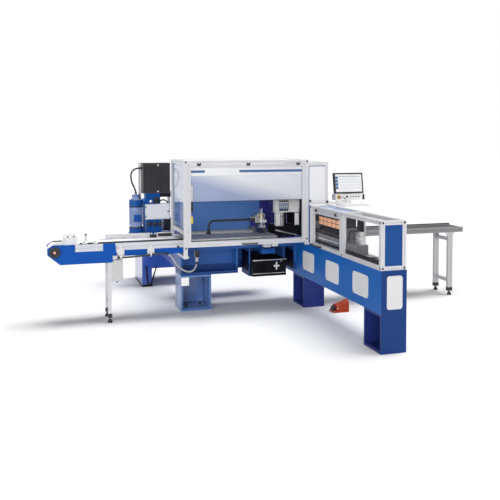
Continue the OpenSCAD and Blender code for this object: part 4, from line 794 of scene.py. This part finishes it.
def make_arm_trim():
    shape = Shape()
    for x, side, out in zip(GUARD_X, (GUARD_SIDE, 661), (-X, X)):
        for z in GUARD_Z:
            shape.turn((x, -2420, z), -Y, OPEN_PLUG, PLUG_SIDES)
            shape.turn((side, -2397.5, z), out, FLAT_PLUG, PLUG_SIDES)
    for y in (-1479.5, -542.5):
        for z in GUARD_Z:
            shape.turn((GUARD_SIDE, y, z), -X, FLAT_PLUG, PLUG_SIDES)
    shape.piece("guard_end_plugs", "black_plastic", "black")


def make_arm_covers():
    shape = Shape()
    shape.block((443, 579), (-2372, 58), (880.3, 893), 2)
    shape.block((398, 402), (-2326, -1364), (923.4, 970), 1)
    shape.piece("arm_belt_cover", "black_plastic", "black_paint")
    shape.block((407, 615), (-1454, -566), (1384.7, 1385.7), 0.3)
    shape.piece("guard_tinted_film", "clear_pane", "tint")


# Small helpers for the parts that follow

def plate(shape, origin, u, v, w, h, thick, r=4, cut=0.8):
    """Rounded plate that stands out from a face along u x v."""
    shape.slab(round_outline(w, h, r), facing(origin, u, v), thick, cut)


def strap(shape, middle, r, along, out, width=14, thick=2.5):
    """Clip around a hose: half a ring that ends in two flat feet on the face behind it."""
    middle, along, out = Vector(middle), Vector(along), Vector(out)
    up = along.cross(out)
    arc = [(-1.9, -1.0), (-1.15, -1.0)]
    arc += [(-1.05 * math.cos(t), 1.05 * math.sin(t)) for t in (math.pi * k / 10 for k in range(11))]
    arc += [(1.15, -1.0), (1.9, -1.0)]
    skin = []
    for i, (a, b) in enumerate(arc):
        here = middle + up * a * r + out * b * r
        before = arc[max(i - 1, 0)]
        after = arc[min(i + 1, len(arc) - 1)]
        run = (up * (after[0] - before[0]) + out * (after[1] - before[1])).normalized()
        normal = along.cross(run).normalized() * (thick / 2)
        half = along * (width / 2)
        skin.append([here - normal - half, here + normal - half, here + normal + half, here - normal + half])
    shape.rings(skin)


# Infeed

HUB_AT = (-2854, -312.6, 903)
HEAD_FACE = -296.3
BEAM_TOP = 985.3
CLIP_SPOTS = ((-2070, 809), (-1698, 824))


def make_infeed_bolts():
    shape = Shape()
    for k in range(6):
        a = math.radians(60 * k)
        shape.bolt((HUB_AT[0] + 50 * math.cos(a), HUB_AT[1], HUB_AT[2] + 50 * math.sin(a)), -Y, 6)
    for x0 in (-2112, -1740):
        for dx in (14, 70):
            for z in (838, 925):
                shape.screw((x0 + dx, -302, z), -Y, 4)
    shape.piece("infeed_bolts", "dark_steel", "dark")
    for x, z in ((-2790, 962), (-2690, 962), (-2650, 912), (-2250, 962), (-2170, 962), (-2150, 850),
                 (-2760, 775), (-2500, 775), (-2230, 775), (-2600, 858), (-2330, 858)):
        shape.screw((x, HEAD_FACE, z), -Y, 4)
    shape.piece("head_painted_screws", "blue_paint", "plates")
    axle = [(0, 14.5), (2, 14.5), (3.5, 12), (3.5, 5), (1, 4), (1, 0)]
    shape.turn((HUB_AT[0], -324, HUB_AT[2]), -Y, axle, 24)
    shape.piece("drive_axle_end", "steel", "bronze", body="drive")


def make_infeed_stops():
    shape = Shape()
    shape.block((-2880, -2746), (-286, -252), (988.5, 1030), 2)
    shape.block((-2478, -2454), (45, 70), (BEAM_TOP, 1046), 2)
    for x in (-2530, -2400):
        shape.block((x, x + 60), (-284, -254), (BEAM_TOP, 1004), 2)
    for x in (-2582, -2368):
        shape.block((x - 13, x + 13), (-296, -290.3), (904, 934), 1)
    for x in (-2040, -1905):
        shape.block((x, x + 34), (40, 75), (BEAM_TOP, 1012), 2)
    shape.blocks(
        (-1562, -1550, 42, 74, BEAM_TOP, 1048, 1.5),
        (-1551, -1352, 42, 74, BEAM_TOP, 997, 1.5),
        (-1551, -1352, 48, 74, 1040, 1048, 1.5),
        (-1364, -1352, 42, 74, 996, 1041, 1.5))
    for x in (-1640, -1596):
        shape.block((x, x + 20), (46, 70), (1029, 1044), 2)
    shape.piece("infeed_stops", "aluminium_bar", "alu")
    shape.block((-1652, -1567), (42, 74), (BEAM_TOP, 1030), 3)
    shape.block((-1551, -1363), (52, 72), (996, 1041), 1)
    shape.piece("infeed_end_box", "black_plastic", "black")


def make_infeed_knobs():
    shape = Shape()
    shape.knob((-2466, 57, 1046), Z, [(6, 9), (8, 14), (20, 14), (23, 11)], 18)
    for x in (-2700, -2630):
        shape.knob((x, -268, 1076), Z, [(3, 12), (4, 9), (15, 9), (17, 7)], 18)
    for x in (-2510, -2380):
        shape.knob((x, -269, 1004), Z, [(3, 9), (3.5, 7), (12, 7), (13, 5)], 16)
    shape.block((-2878, -2768), (-272, -260), (1029.6, 1043), 2)
    shape.piece("infeed_knobs", "black_plastic", "black")
    for y in (-245.3, 28.3):
        shape.block((-2790, -1262), (y, y + 7), (976.8, 986.5), 1)
    shape.block((-2560, -1264), (-250, -245.2), (962, 1001), 1)
    shape.block((-2560, -1264), (-289, -285), (BEAM_TOP, 990), 1)
    shape.piece("belt_edge_strips", "black_plastic", "black")


def make_hose_clips():
    shape = Shape()
    for x, z in CLIP_SPOTS:
        strap(shape, (x, -316, z), HOSE_R + 1, X, -Y)
    for x, z in CLIP_SPOTS:
        for side in (-1, 1):
            shape.screw((x, -305, z + side * 20), -Y, 3)
    shape.piece("hose_clips", "steel", "bright")


def make_control_covers():
    shape = Shape()
    plate(shape, (-2174, -290, 520), X, Z, 126, 244, 5, 8)
    shape.piece("junction_lid", "grey_paint", "grey")
    for x in (-2162, -2060):
        for z in (534, 750):
            shape.screw((x, -295, z), -Y, 2.4)
    shape.knob((-2112, -245, 511), -Z, [(10, 15), (12, 11), (22, 11)], 16)
    shape.knob((-1053, -60, 750), Z, [(0.6, 16), (4, 20), (14, 20), (20, 12)], 20)
    shape.piece("control_fittings", "black_plastic", "black")
    shape.block((-1078, -1028), (-85.5, -60), (716, 800), 3)
    shape.piece("plug_cap", "black_plastic", "black")


def make_leg_fittings():
    shape = Shape()
    for x, ys in ((-2204.5, (-267.5, 57.5)), (2695.5, (-217.5, 132.5))):
        for y in ys:
            shape.knob((x, y, 50), Z, [(9, 17), (10.3, 15)], 6)
    shape.piece("foot_nuts", "steel", "bright")
    for x, w, ys in ((-2227, 45, (-290, 35)), (2658, 75, (-240, 110))):
        for y in ys:
            shape.block((x - 2, x + w + 2), (y - 2, y + 47), (60.4, 112), 2)
            shape.turn((x + w / 2, y + 22.5, 14.2), Z, [(0, 28), (10, 26), (26, 17), (45, 15), (45, 9)], 20)
    shape.piece("leg_end_boots", "black_plastic", "black")
    corner = corner_of(40)
    for x, z, y in ((-2182, 896, -284), (-2182, 896, 40), (2733, 919, -234), (2733, 919, 116)):
        shape.slab(corner, facing((x, y, z), X, -Z), 34, 1)
    for x, z, y in ((-2227, 896, -284), (-2227, 896, 40), (2658, 919, -234), (2658, 919, 116)):
        shape.slab(corner, facing((x, y + 34, z), -X, -Z), 34, 1)
    shape.piece("leg_corner_brackets", "steel", "alu")


# Table, carriage and press

TABLE_UNDER = 954.6
BEAM_FRONT = -15.3
CONDUIT_X = -864
CONDUIT_Y = 60
CONDUIT_BEND = 80
CONDUIT_Z = (1032, 1096, 1176)
FEED_MOTOR = (-199, 200)
VALVE_X = [76 + 33 * k for k in range(4)]
VALVE_FACE = -161.3
COLUMN_Z = (1099.4, 1283.7)
SHEET_Y = (359, 365.7)
SHEET_Z = (884, 1480)
SHEET_BOLT_Z = (910, 1190, 1460)


def make_table_strips():
    shape = Shape()
    for k in range(4):
        y = -280 + 90 * k
        shape.block((-1250, -36), (y + 2.5, y + 13.5), (988.2, 997), 0.8)
    shape.block((-1256, -31), (-346, -340.2), (962, 990), 1)
    shape.piece("table_strips", "steel", "steel")
    shape.block((-1180, -690), (98, 106), (1000.4, 1015), 1)
    shape.piece("table_guide_strip", "aluminium_bar", "alu")
    for k in range(13):
        shape.screw((-1220 + 95 * k, -346, 976), -Y, 4)
    for x in (-1190, -1080, -970, -860, -750):
        for y in (112.5, 272.5):
            shape.knob((x, y, 1020), Z, [(0.8, 5.5), (0.8, 3), (0.2, 2.6)], 14)
    shape.piece("table_screws", "steel", "bright")


def make_table_boxes():
    shape = Shape()
    shape.block((-215, -118), (-338, -255), (849, 893), 2)
    shape.block((-190, -140), (-325, -265), (892, TABLE_UNDER), 2)
    shape.piece("table_sensor_box", "grey_paint", "grey")
    shape.block((-104, -20), (-339, -255), (857, 896), 3)
    shape.block((-85, -45), (-325, -265), (895, TABLE_UNDER), 2)
    shape.piece("table_lube_box", "white_paint", "white")
    shape.block((-195, -11), (-200, -188), (742, 805), 2)
    for x in (-180, -103, -36):
        shape.block((x, x + 10), (-189, BEAM_FRONT), (746, 800), 2)
    shape.block((-195, -11), (-189, BEAM_FRONT), (738, 748), 2)
    shape.piece("chute_bracket", "blue_paint", "blue")


def conduit_line():
    """Middle of the conduit: up from the table, a quarter turn, and along to the carriage."""
    low, turn, high = CONDUIT_Z
    bend_x = CONDUIT_X + CONDUIT_BEND
    line = [Vector((CONDUIT_X, CONDUIT_Y, low + 4 * k)) for k in range(17)]
    for k in range(1, 25):
        t = math.pi / 2 * k / 24
        x, z = bend_x - CONDUIT_BEND * math.cos(t), turn + CONDUIT_BEND * math.sin(t)
        line.append(Vector((x, CONDUIT_Y, z)))
    return line + [Vector((bend_x + 4 * k, CONDUIT_Y, high)) for k in range(1, 141)]


def make_conduit_ribs():
    line = even(conduit_line(), 3.5)
    shape = Shape()
    shape.sweep(line, [15.5 if (i // 2) % 2 else 13.5 for i in range(len(line))], 14)
    shape.turn((CONDUIT_X, CONDUIT_Y, 1028), Z, [(0, 22), (10, 22), (14, 18), (22, 17), (22, 11)], 18)
    shape.turn((-226, CONDUIT_Y, CONDUIT_Z[2]), X, [(0, 16), (2, 19), (11, 19), (11.5, 11)], 18)
    shape.piece("conduit_ribs", "black_plastic", "black", body="feed")


def make_carriage_motor():
    shape = Shape()
    shape.turn((*FEED_MOTOR, 1062), Z, [(0, 29), (0, 31), (84, 31), (86, 29)], 24)
    for k in range(12):
        a = math.radians(30 * k)
        at = Vector((*FEED_MOTOR, 0)) + 31 * (X * math.cos(a) + Y * math.sin(a))
        shape.block((at.x - 3, at.x + 3), (at.y - 3, at.y + 3), (1068, 1142), 1)
    shape.piece("feed_motor_sleeve", "navy_paint", "deep", body="feed")
    shape.knob((*FEED_MOTOR, 1199), Z, [(6, 28.5), (9, 24)], 24)
    shape.block((-226, -206), (160, 178), (1150, 1190), 2)
    for x in (-132, -112, -92, -72):
        shape.block((x, x + 14), (122, 130), (1192, 1226), 2)
    shape.block((-150, -88), (208, 258), (1215, 1226), 2)
    shape.piece("carriage_black_parts", "black_plastic", "black", body="feed")


def make_carriage_fittings():
    shape = Shape()
    for x in (-125, -105, -85, -65):
        shape.knob((x, 136, 1235), Z, [(5, 7), (6, 5), (14, 5)], 12)
    shape.knob((-149, -35, 1249), Z, [(4, 14), (6, 8), (14, 8)], 16)
    shape.knob((-173, -35, 1225), -X, [(5, 8), (6, 5), (15, 5)], 14)
    for x, y in ((-225, 104), (-225, 284), (-44, 104), (-44, 284)):
        shape.screw((x, y, 1060), Z, 4)
    shape.piece("carriage_fittings", "steel", "brass", body="feed")
    shape.blocks(
        (-168, -60, 112, 120, 1066, 1176, 2),
        (-60, -50, 120, 270, 1060.2, 1150, 2),
        (-196, -102, -104, -98.3, 1145, 1184, 2),
        (-205, -168, -30, 60, 1180.3, 1190, 2))
    shape.piece("carriage_plates", "aluminium_bar", "alu", body="feed")


def make_air_tubes():
    """Half ellipses from the valve fittings to the gripper's fitting."""
    for i, x in enumerate((-125, -105, -85)):
        rise, last = 56 + 8 * i, -149 + 4 * i
        points = [(x, 136, 1246)]
        for k in range(9):
            a = math.pi * k / 8
            points.append((x + (last - x) * k / 8, 50.5 + 85.5 * math.cos(a), 1255 + rise * math.sin(a)))
        tube_piece("air_tube_%d" % (i + 1), "feed", points, AIR_R, "air")


def make_press_columns():
    shape = Shape()
    for x in (12, 282):
        for y in (-170, 40):
            shape.block((x - 3, x + 63), (y - 3, y + 63), (COLUMN_Z[0], 1113), 2)
            shape.block((x - 3, x + 63), (y - 3, y + 63), (1272, COLUMN_Z[1]), 2)
    for x in (0, 335):
        for z in (1305, 1435):
            shape.screw((x, -170, z), -Y, 5)
    shape.piece("column_collars", "steel", "bright")
    shape.turn((91, -158, COLUMN_Z[0]), Z, [(0, 13), (8, 13), (9, 8), (184, 8)], 18)
    shape.turn((118, -150, COLUMN_Z[0]), Z, [(0, 9), (8, 9), (9, 5), (184, 5)], 14)
    shape.piece("guide_rods", "steel", "steel")


def make_press_valves():
    shape = Shape()
    for x in VALVE_X:
        shape.knob((x, -148, 1424), Z, [(5, 12.5), (7, 8), (16, 8), (17, 6)], 16)
        shape.block((x - 11, x + 11), (-165, VALVE_FACE), (1304, 1330), 1.5)
    shape.piece("valve_caps", "black_plastic", "black")
    for x in VALVE_X:
        shape.knob((x, VALVE_FACE, 1362), -Y, [(4, 7), (5, 5.5)], 14)
    shape.block((344.2, 350), (-168, -30), (1290, 1450), 2)
    shape.block((62, 190), (-166, -157.6), (1408, 1420), 1.5)
    shape.piece("valve_plugs", "white_paint", "white")


def make_press_sheets():
    shape = Shape()
    shape.block((-6, 340), (-168, 98), (955.6, 960), 1)
    slide = [(-4, 1044), (318, 958), (322, 974), (0, 1060)]
    shape.slab(slide, facing((0, -169.6, 0), X, Z), 22, 1.5)
    for x, z in ((40, 1040), (160, 1008), (280, 976)):
        shape.bolt((x, -191.4, z), -Y, 5)
    shape.piece("die_clamp", "steel", "steel")
    shape.blocks(
        (275, 281.7, -169, 98, 1114, 1271, 1.5),
        (275, 281.7, -109.5, 39.5, 1270, COLUMN_Z[1], 1.5),
        (432, 593, *SHEET_Y, *SHEET_Z, 2))
    for z in SHEET_BOLT_Z:
        for x in (450, 576):
            shape.bolt((x, SHEET_Y[0], z), -Y, 6)
    shape.piece("press_dark_sheets", "black_paint", "pitch")
    shape.block((363, 432), SHEET_Y, SHEET_Z, 2)
    for z in SHEET_BOLT_Z:
        shape.bolt((397, SHEET_Y[0], z), -Y, 6)
    shape.piece("press_side_sheet", "navy_paint", "deep")


# Magazine on the arm

TOOL_X = 511
RACK_Y = (-1328, -522)
RACK_FACE = 429.7
STOP_FOOT = 1041.3


def make_tool_holders():
    shape = Shape()
    for z in ((1100, 1112), (1276, 1288)):
        for x in (431, 585):
            shape.block((x, x + 6), RACK_Y, z, 1)
    for i in range(6):
        y = -605 - 125 * i
        shape.knob((TOOL_X, y, 1338.3), Z, [(3, 22), (5, 18), (14, 18), (16, 15)], 18)
        for side in (-50, 50):
            shape.block((433, 445), (y + side - 9, y + side + 9), (1280, 1330), 2)
        shape.turn((TOOL_X, y, 1088.3), Z, [(0, 54), (4, 54), (6, 44), (52, 41), (73, 52), (73, 39)], 28)
        shape.turn((TOOL_X, y, 1213), Z, [(0, 58.2), (0, 59), (5, 59), (5, 58.2)], 32)
        shape.turn((TOOL_X, y, 1270.4), Z, [(0, 54), (8, 50), (14, 40), (25, 38), (25, 25)], 28)
    shape.block((485, 537), (-1699, -1622), (1194, 1336), 4)
    for z in ((932, 958), (1058, 1084)):
        shape.block((421, RACK_FACE), RACK_Y, z, 2)
    shape.piece("tool_holder_bars", "dark_steel", "black_paint", body="magazine")


def make_magazine_casing():
    shape = Shape()
    shape.block((420, 429.6), (-1698, -1347), (928, 1038), 3)
    shape.block((470, 552), (-1600, -1400), (STOP_FOOT, 1062), 3)
    shape.piece("magazine_casing", "grey_paint", "rack", body="magazine")
    shape.block((478, 544), (-1705, -1616), (STOP_FOOT, 1128), 3)
    shape.knob((TOOL_X, -1660, 1336), Z, [(5, 20), (8, 14), (16, 14)], 18)
    shape.look = 1
    shape.block((488, 534), (-1692, -1629), (1128, 1195), 3)
    shape.piece("magazine_stop", "bronze", "steel", "bronze", body="magazine")


def make_magazine_trim():
    shape = Shape()
    for y in (-1680, -1600, -1500, -1400, -1365):
        for z in (945, 1022):
            shape.screw((420, y, z), -X, 4)
    shape.block((416, RACK_FACE), (-1326, -524), (984, 1012), 3)
    for y in (-1300, -1150, -1000, -850, -700, -560):
        shape.screw((430, y, 1036), -X, 5)
    shape.piece("magazine_screws", "steel", "bright", body="magazine")
    bend = [math.pi * k / 16 for k in range(17)]
    arch = [(-1500 + 78 * math.cos(t), 1062 + 120 * math.sin(t)) for t in bend]
    for x in (480, 541):
        shape.sweep([(x, y, z) for y, z in arch], 8, 10)
    shape.block((474, 547), (-1512, -1488), (1170, 1192), 3)
    shape.piece("magazine_arch", "black_plastic", "black", body="magazine")


# Drawer

DRAWER_X = (-303, 177)
DRAWER_FACE = -120.2
LEVER_Y = (-137, -134.2)


def make_drawer_details():
    shape = Shape()
    shape.block(DRAWER_X, (-133, -130.2), (636, 647), 1)
    shape.block(DRAWER_X, (-123, DRAWER_FACE), (456, 463), 1)
    shape.block((98, 112), (-124, DRAWER_FACE), (606, 622), 1)
    shape.piece("drawer_bright_edges", "steel", "bright", body="drawer")
    shape.block((24, 44), LEVER_Y, (508, 606), 1)
    shape.block((-4, 72), LEVER_Y, (545, 569), 1)
    shape.piece("drawer_lever_cover", "white_paint", "white", body="drawer")
    for z in (474, 498, 522, 546, 570):
        shape.block((-240, -116), (-126, DRAWER_FACE), (z + 9, z + 14), 1.5)
    shape.block(DRAWER_X, (-127, DRAWER_FACE), (424, 440), 2)
    shape.piece("drawer_louvres", "black_paint", "black_paint", body="drawer")


# Console

SCREEN_TILT = 9
SCREEN_AT = (795, -352, 1536)
MARK_OUT = 2.9
MARK_THICK = 0.3
CONSOLE_FACE = -372.2


def make_screen():
    tilt = Matrix.Translation(Vector(SCREEN_AT)) @ Matrix.Rotation(math.radians(-SCREEN_TILT), 4, "X")

    def face(u, v, w, h, out, thick, r=3):
        place = tilt @ facing((u, out, v), X, Z)
        shape.slab(round_outline(w, h, r, 3), place, thick, 0.3)

    shape = Shape()
    face(19, 19, 392, 242, 3.8, 0.8)
    shape.piece("screen_glass", "clear_pane", "screen", body="console")
    for v in (60, 105, 150, 195):
        face(22, v, 34, 36, MARK_OUT, MARK_THICK, 3)
    shape.piece("screen_blue_marks", "blue_paint", "stripe", body="console")
    for v in (70, 110, 150, 190):
        face(70, v, 320, 4, MARK_OUT, MARK_THICK, 1)
    face(66, 226, 330, 10, MARK_OUT, MARK_THICK, 2)
    shape.piece("screen_grey_marks", "grey_paint", "pale_mark", body="console")


def make_console_fittings():
    shape = Shape()
    shape.block((1197, 1226.5), (-376, -371.8), (1447, 1523), 2)
    shape.knob((964, CONSOLE_FACE, 1490), -Y, [(3, 15), (4, 11), (10, 11), (11, 9)], 18)
    shape.knob((930, CONSOLE_FACE, 1470), -Y, [(3, 9), (4, 7), (7, 7)], 16)
    for x in (1020, 1060, 1100, 1140):
        shape.knob((x, CONSOLE_FACE, 1490), -Y, [(3, 9), (4, 7), (9, 7)], 16)
    shape.piece("console_black_parts", "black_plastic", "black", body="console")
    shape.turn((840, CONSOLE_FACE, 1487), -Y, [(0, 26), (3, 26), (4, 23), (4, 13)], 24)
    shape.piece("stop_collar", "yellow_plastic", "yellow", body="console")
    shape.slab(round_outline(340, 130, 8), facing((830, -590, 1392.2), X, Y), 9, 1.5)
    shape.look = 1
    for row in range(5):
        for k in range(14):
            x, y = 838 + 23.4 * k, -582 + 24 * row
            shape.block((x, x + 20), (y, y + 20), (1401, 1405), 1.2)
    shape.piece("keyboard", "white_paint", "plate", "white", body="console")


# Hydraulic pack

MOTOR_AT = (-1586, 1794)
FAN_X = -1276
FAN_Z = 1675
PACK_SHEET_Y = (1829, 1835.7)
TANK_TOP = 812
PIPE_FOOT = (1700, 515.4)
STRUT_Y = 1648


def make_motor_fittings():
    shape = Shape()
    for z in (1392, 1404, 1414):
        shape.turn((*MOTOR_AT, z), Z, [(0, 60.5), (0, 62), (4, 62), (4, 60.5)], 32)
    shape.block((-1640, -1532), (1668, 1692), (1010, 1120), 4)
    shape.knob((MOTOR_AT[0], 1668, 1028), -Y, [(12, 14), (14, 11)], 16)
    for dx in (-66, 66):
        shape.knob((MOTOR_AT[0] + dx, MOTOR_AT[1], 1347), Z, [(6, 14), (8, 8), (12, 8)], 14)
    for z, tall in ((835, 72), (1245, 99)):
        shape.turn((*MOTOR_AT, z), Z, [(0, 104.5), (2, 106.4), (tall - 2, 106.4), (tall, 104.5)], 44)
    shape.piece("motor_fittings", "blue_paint", "blue")


def make_pump_riser():
    shape = Shape()
    plate(shape, (-1446, 1709, 1046), X, Z, 365, 219, 6, 6)
    shape.piece("terminal_lid", "grey_paint", "white")
    shape.blocks(
        (-1479, -1449, 1752, 1792, 831.8, 1300, 4),
        (-1484, -1444, 1744, 1798, 1296, 1326, 4),
        (-1400, -1336, 1690, 1718.7, 1286, 1344, 4))
    shape.piece("pump_riser", "blue_paint", "blue")
    shape.turn((-1464, 1771, 1325), Z, [(0, 26), (4, 30), (30, 30), (36, 24), (36, 0)], 20)
    shape.piece("riser_knob", "blue_paint", "cyan")


def make_pack_fittings():
    shape = Shape()
    for z in (908, 1226):
        shape.turn((*MOTOR_AT, z), Z, [(0, 104), (2, 107.5), (16, 107.5), (18, 104)], 40)
    shape.blocks(
        (-1322, -1236, 1694, 1718.7, 1290, 1372, 4),
        (-1172, -1030, *PACK_SHEET_Y, 840, 1046, 2),
        (-1236, -1031, *PACK_SHEET_Y, 1372, 1458, 2))
    shape.piece("pack_dark_parts", "dark_steel", "dark")
    tube_piece("pack_valve_hose", "machine", VALVE_ROUTE, VALVE_R, "hose")
    shape.knob((-1368, 1690, 1316), -Y, [(10, 22), (12, 16), (24, 16), (26, 13)], 18)
    shape.block((-1162, -1150), (1822, 1829), (838, 1048), 2)
    shape.piece("pack_bright_parts", "steel", "bright")
    for z in (1080, 1230):
        shape.block((-1452, -1440), (1700, 1709), (z - 16, z + 16), 2)
    shape.knob((-1098, 1703, 1155), -Y, [(4, 13), (6, 10), (12, 10)], 18)
    for k in range(3):
        x = -1420 + 82 * k
        shape.block((x, x + 52), (1676, 1708.7), (930, 1000), 3)
        shape.knob((x + 26, 1676, 965), -Y, [(20, 18), (22, 12), (28, 12)], 16)
    shape.piece("pack_black_parts", "black_plastic", "black")
    for x, z in ((-1255, 1877), (-1257, 1470)):
        shape.knob((x, 1699, z), -Y, [(4, 13), (6, 10)], 16)
    shape.piece("cooler_bolts", "white_paint", "white")


def make_fan_guard():
    shape = Shape()
    for r in (60, 95, 130, 165):
        ring = [(FAN_X + r * math.cos(t), 1955, FAN_Z + r * math.sin(t))
                for t in (2 * math.pi * k / 36 for k in range(37))]
        shape.sweep(ring, 3, 8)
    for k in range(4):
        a = math.radians(45 + 90 * k)
        shape.sweep([(FAN_X + r * math.cos(a), 1952, FAN_Z + r * math.sin(a)) for r in (20, 180)], 4, 8)
    shape.knob((FAN_X, 1949.3, FAN_Z), Y, [(8, 40), (12, 34)], 24)
    shape.piece("fan_guard", "black_paint", "black_paint")


def make_tank_fittings():
    shape = Shape()
    for x, y in ((-1300, 2100), (-900, 2150)):
        shape.knob((x, y, TANK_TOP), Z, [(14, 34), (16, 26), (40, 26), (46, 20)], 24)
    shape.knob((-700, 2300, TANK_TOP), Z, [(6, 48), (8, 40), (60, 40), (66, 34)], 28)
    shape.piece("tank_caps", "black_plastic", "black")
    for x, lean in ((-1380, 0), (-1300, 20), (-1230, 40)):
        pipe = [(x, 1770, 831), (x + lean / 3, 1765, 800), (x + lean, 1720, 760), (x + lean, 1700, 700),
                (x + lean, 1700, 560), (x + lean, *PIPE_FOOT)]
        shape.sweep(smooth(pipe, 5), 9, 12)
        shape.turn((x + lean, *PIPE_FOOT), Z, [(0, 17), (16, 17), (18, 12), (30, 12), (30, 9)], 6)
    shape.piece("pack_pipes", "steel", "steel")


def make_stand_struts():
    shape = Shape()
    for (xa, za), (xb, zb) in (((-1456, 304), (-1426, 38)), ((-1301, 296), (-1380, 38))):
        for x, z in ((xa, za), (xb, zb)):
            shape.knob((x, 1658.8, z), -Y, [(14, 16), (16, 13)], 16)
        middle = ((xa + xb) / 2, STRUT_Y, (za + zb) / 2)
        shape.sweep([(xa, STRUT_Y, za), middle, (xb, STRUT_Y, zb)], [9, 12, 12], 12)
    shape.piece("stand_struts", "black_paint", "black_paint")


# Foot switch

def make_pedal_details():
    shape = Shape()
    shape.block((626.5, 672), (-660, -590), (22.3, 70), 4)
    shape.block((630, 660), (-650, -600), (69, 78), 3)
    shape.piece("pedal_cable_block", "black_plastic", "black")
    for y in (-692, -558):
        shape.screw((640, y, 22), Z, 4)
    shape.knob((680, -700, 56), -Y, [(3, 8), (4, 6)], 16)
    shape.piece("pedal_screws", "steel", "bright")
    for k in range(9):
        shape.block((700 + 12 * k, 705 + 12 * k), (-676, -574), (61, 63.5), 0.8)
    shape.piece("tread_ribs", "black_plastic", "black", body="pedal")


# Lights and stage

WORLD_LIGHT = 0.08
FLOOR_LIFT = 0.03
FLOOR_REACH = 60
FLOOR_DROP = 0.001


def seen_by(tree, *rays):
    """One for any of the named kinds of ray, and otherwise zero."""
    path = node_of(tree, "ShaderNodeLightPath")
    seen = path.outputs[rays[0]]
    for ray in rays[1:]:
        either = node_of(tree, "ShaderNodeMath", {0: seen, 1: path.outputs[ray]}, operation="MAXIMUM")
        seen = either.outputs["Value"]
    return seen


def world_light(strength):
    """White surroundings that look brighter than the light they give."""
    world = bpy.data.worlds.new("studio")
    bpy.context.scene.world = world
    world.use_nodes = True
    tree = world.node_tree
    seen = seen_by(tree, "Is Camera Ray", "Is Glossy Ray", "Is Transmission Ray")
    wire(tree.nodes["Background"], {"Color": (1, 1, 1, 1),
                                    "Strength": range_of(tree, seen, strength, 1.0, 0.0, 1.0)})


def make_floor(lift):
    mesh = bpy.data.meshes.new("studio_floor")
    corners = [(x * FLOOR_REACH, y * FLOOR_REACH, 0) for x, y in ((-1, -1), (1, -1), (1, 1), (-1, 1))]
    mesh.from_pydata(corners, [], [(0, 1, 2, 3)])
    floor = bpy.data.objects.new("studio_floor", mesh)
    floor.location.z = -FLOOR_DROP
    bpy.context.scene.collection.objects.link(floor)
    mat, tree, bsdf, coords = surface("pale_floor")
    patches = noise_on(tree, coords, 0.6)
    seen = seen_by(tree, "Is Camera Ray", "Is Glossy Ray")
    wire(bsdf, {"Base Color": ramp_between(tree, patches, (0.86, 0.86, 0.86), (0.88, 0.88, 0.88)),
                "Roughness": 0.9, "Specular IOR Level": 0.0, "Emission Color": (1, 1, 1, 1),
                "Emission Strength": range_of(tree, seen, 0.0, lift, 0.0, 1.0)})
    mesh.materials.append(mat)


def make_lamps():
    for name, strength, spread, way in (("overhead", 1.25, 24, (0, 0, -1)),
                                        ("right_high", 2.05, 36, (-0.48, -0.02, -1)),
                                        ("front", 2.55, 50, (0.52, 0.8, -0.12))):
        light = bpy.data.lights.new(name, "SUN")
        light.energy = strength
        light.angle = math.radians(spread)
        lamp = bpy.data.objects.new(name, light)
        lamp.rotation_euler = Vector(way).to_track_quat("-Z", "Y").to_euler()
        bpy.context.scene.collection.objects.link(lamp)


make_camera()
make_hoses()
make_reliefs()
dress_nodes()
make_door_films()
make_door_trim()
make_door_switch()
make_frame_trim()
make_switch_covers()
make_welds()
make_anchors()
make_leg_plate()
make_bay_painted_shade()
make_arm_screws()
make_arm_trim()
make_arm_covers()
make_infeed_bolts()
make_infeed_stops()
make_infeed_knobs()
make_hose_clips()
make_control_covers()
make_leg_fittings()
make_table_strips()
make_table_boxes()
make_conduit_ribs()
make_carriage_motor()
make_carriage_fittings()
make_air_tubes()
make_press_columns()
make_press_valves()
make_press_sheets()
make_tool_holders()
make_magazine_casing()
make_magazine_trim()
make_drawer_details()
make_screen()
make_console_fittings()
make_motor_fittings()
make_pump_riser()
make_pack_fittings()
make_fan_guard()
make_tank_fittings()
make_stand_struts()
make_pedal_details()
world_light(WORLD_LIGHT)
make_floor(FLOOR_LIFT)
make_lamps()
bpy.context.scene.view_settings.view_transform = "Standard"
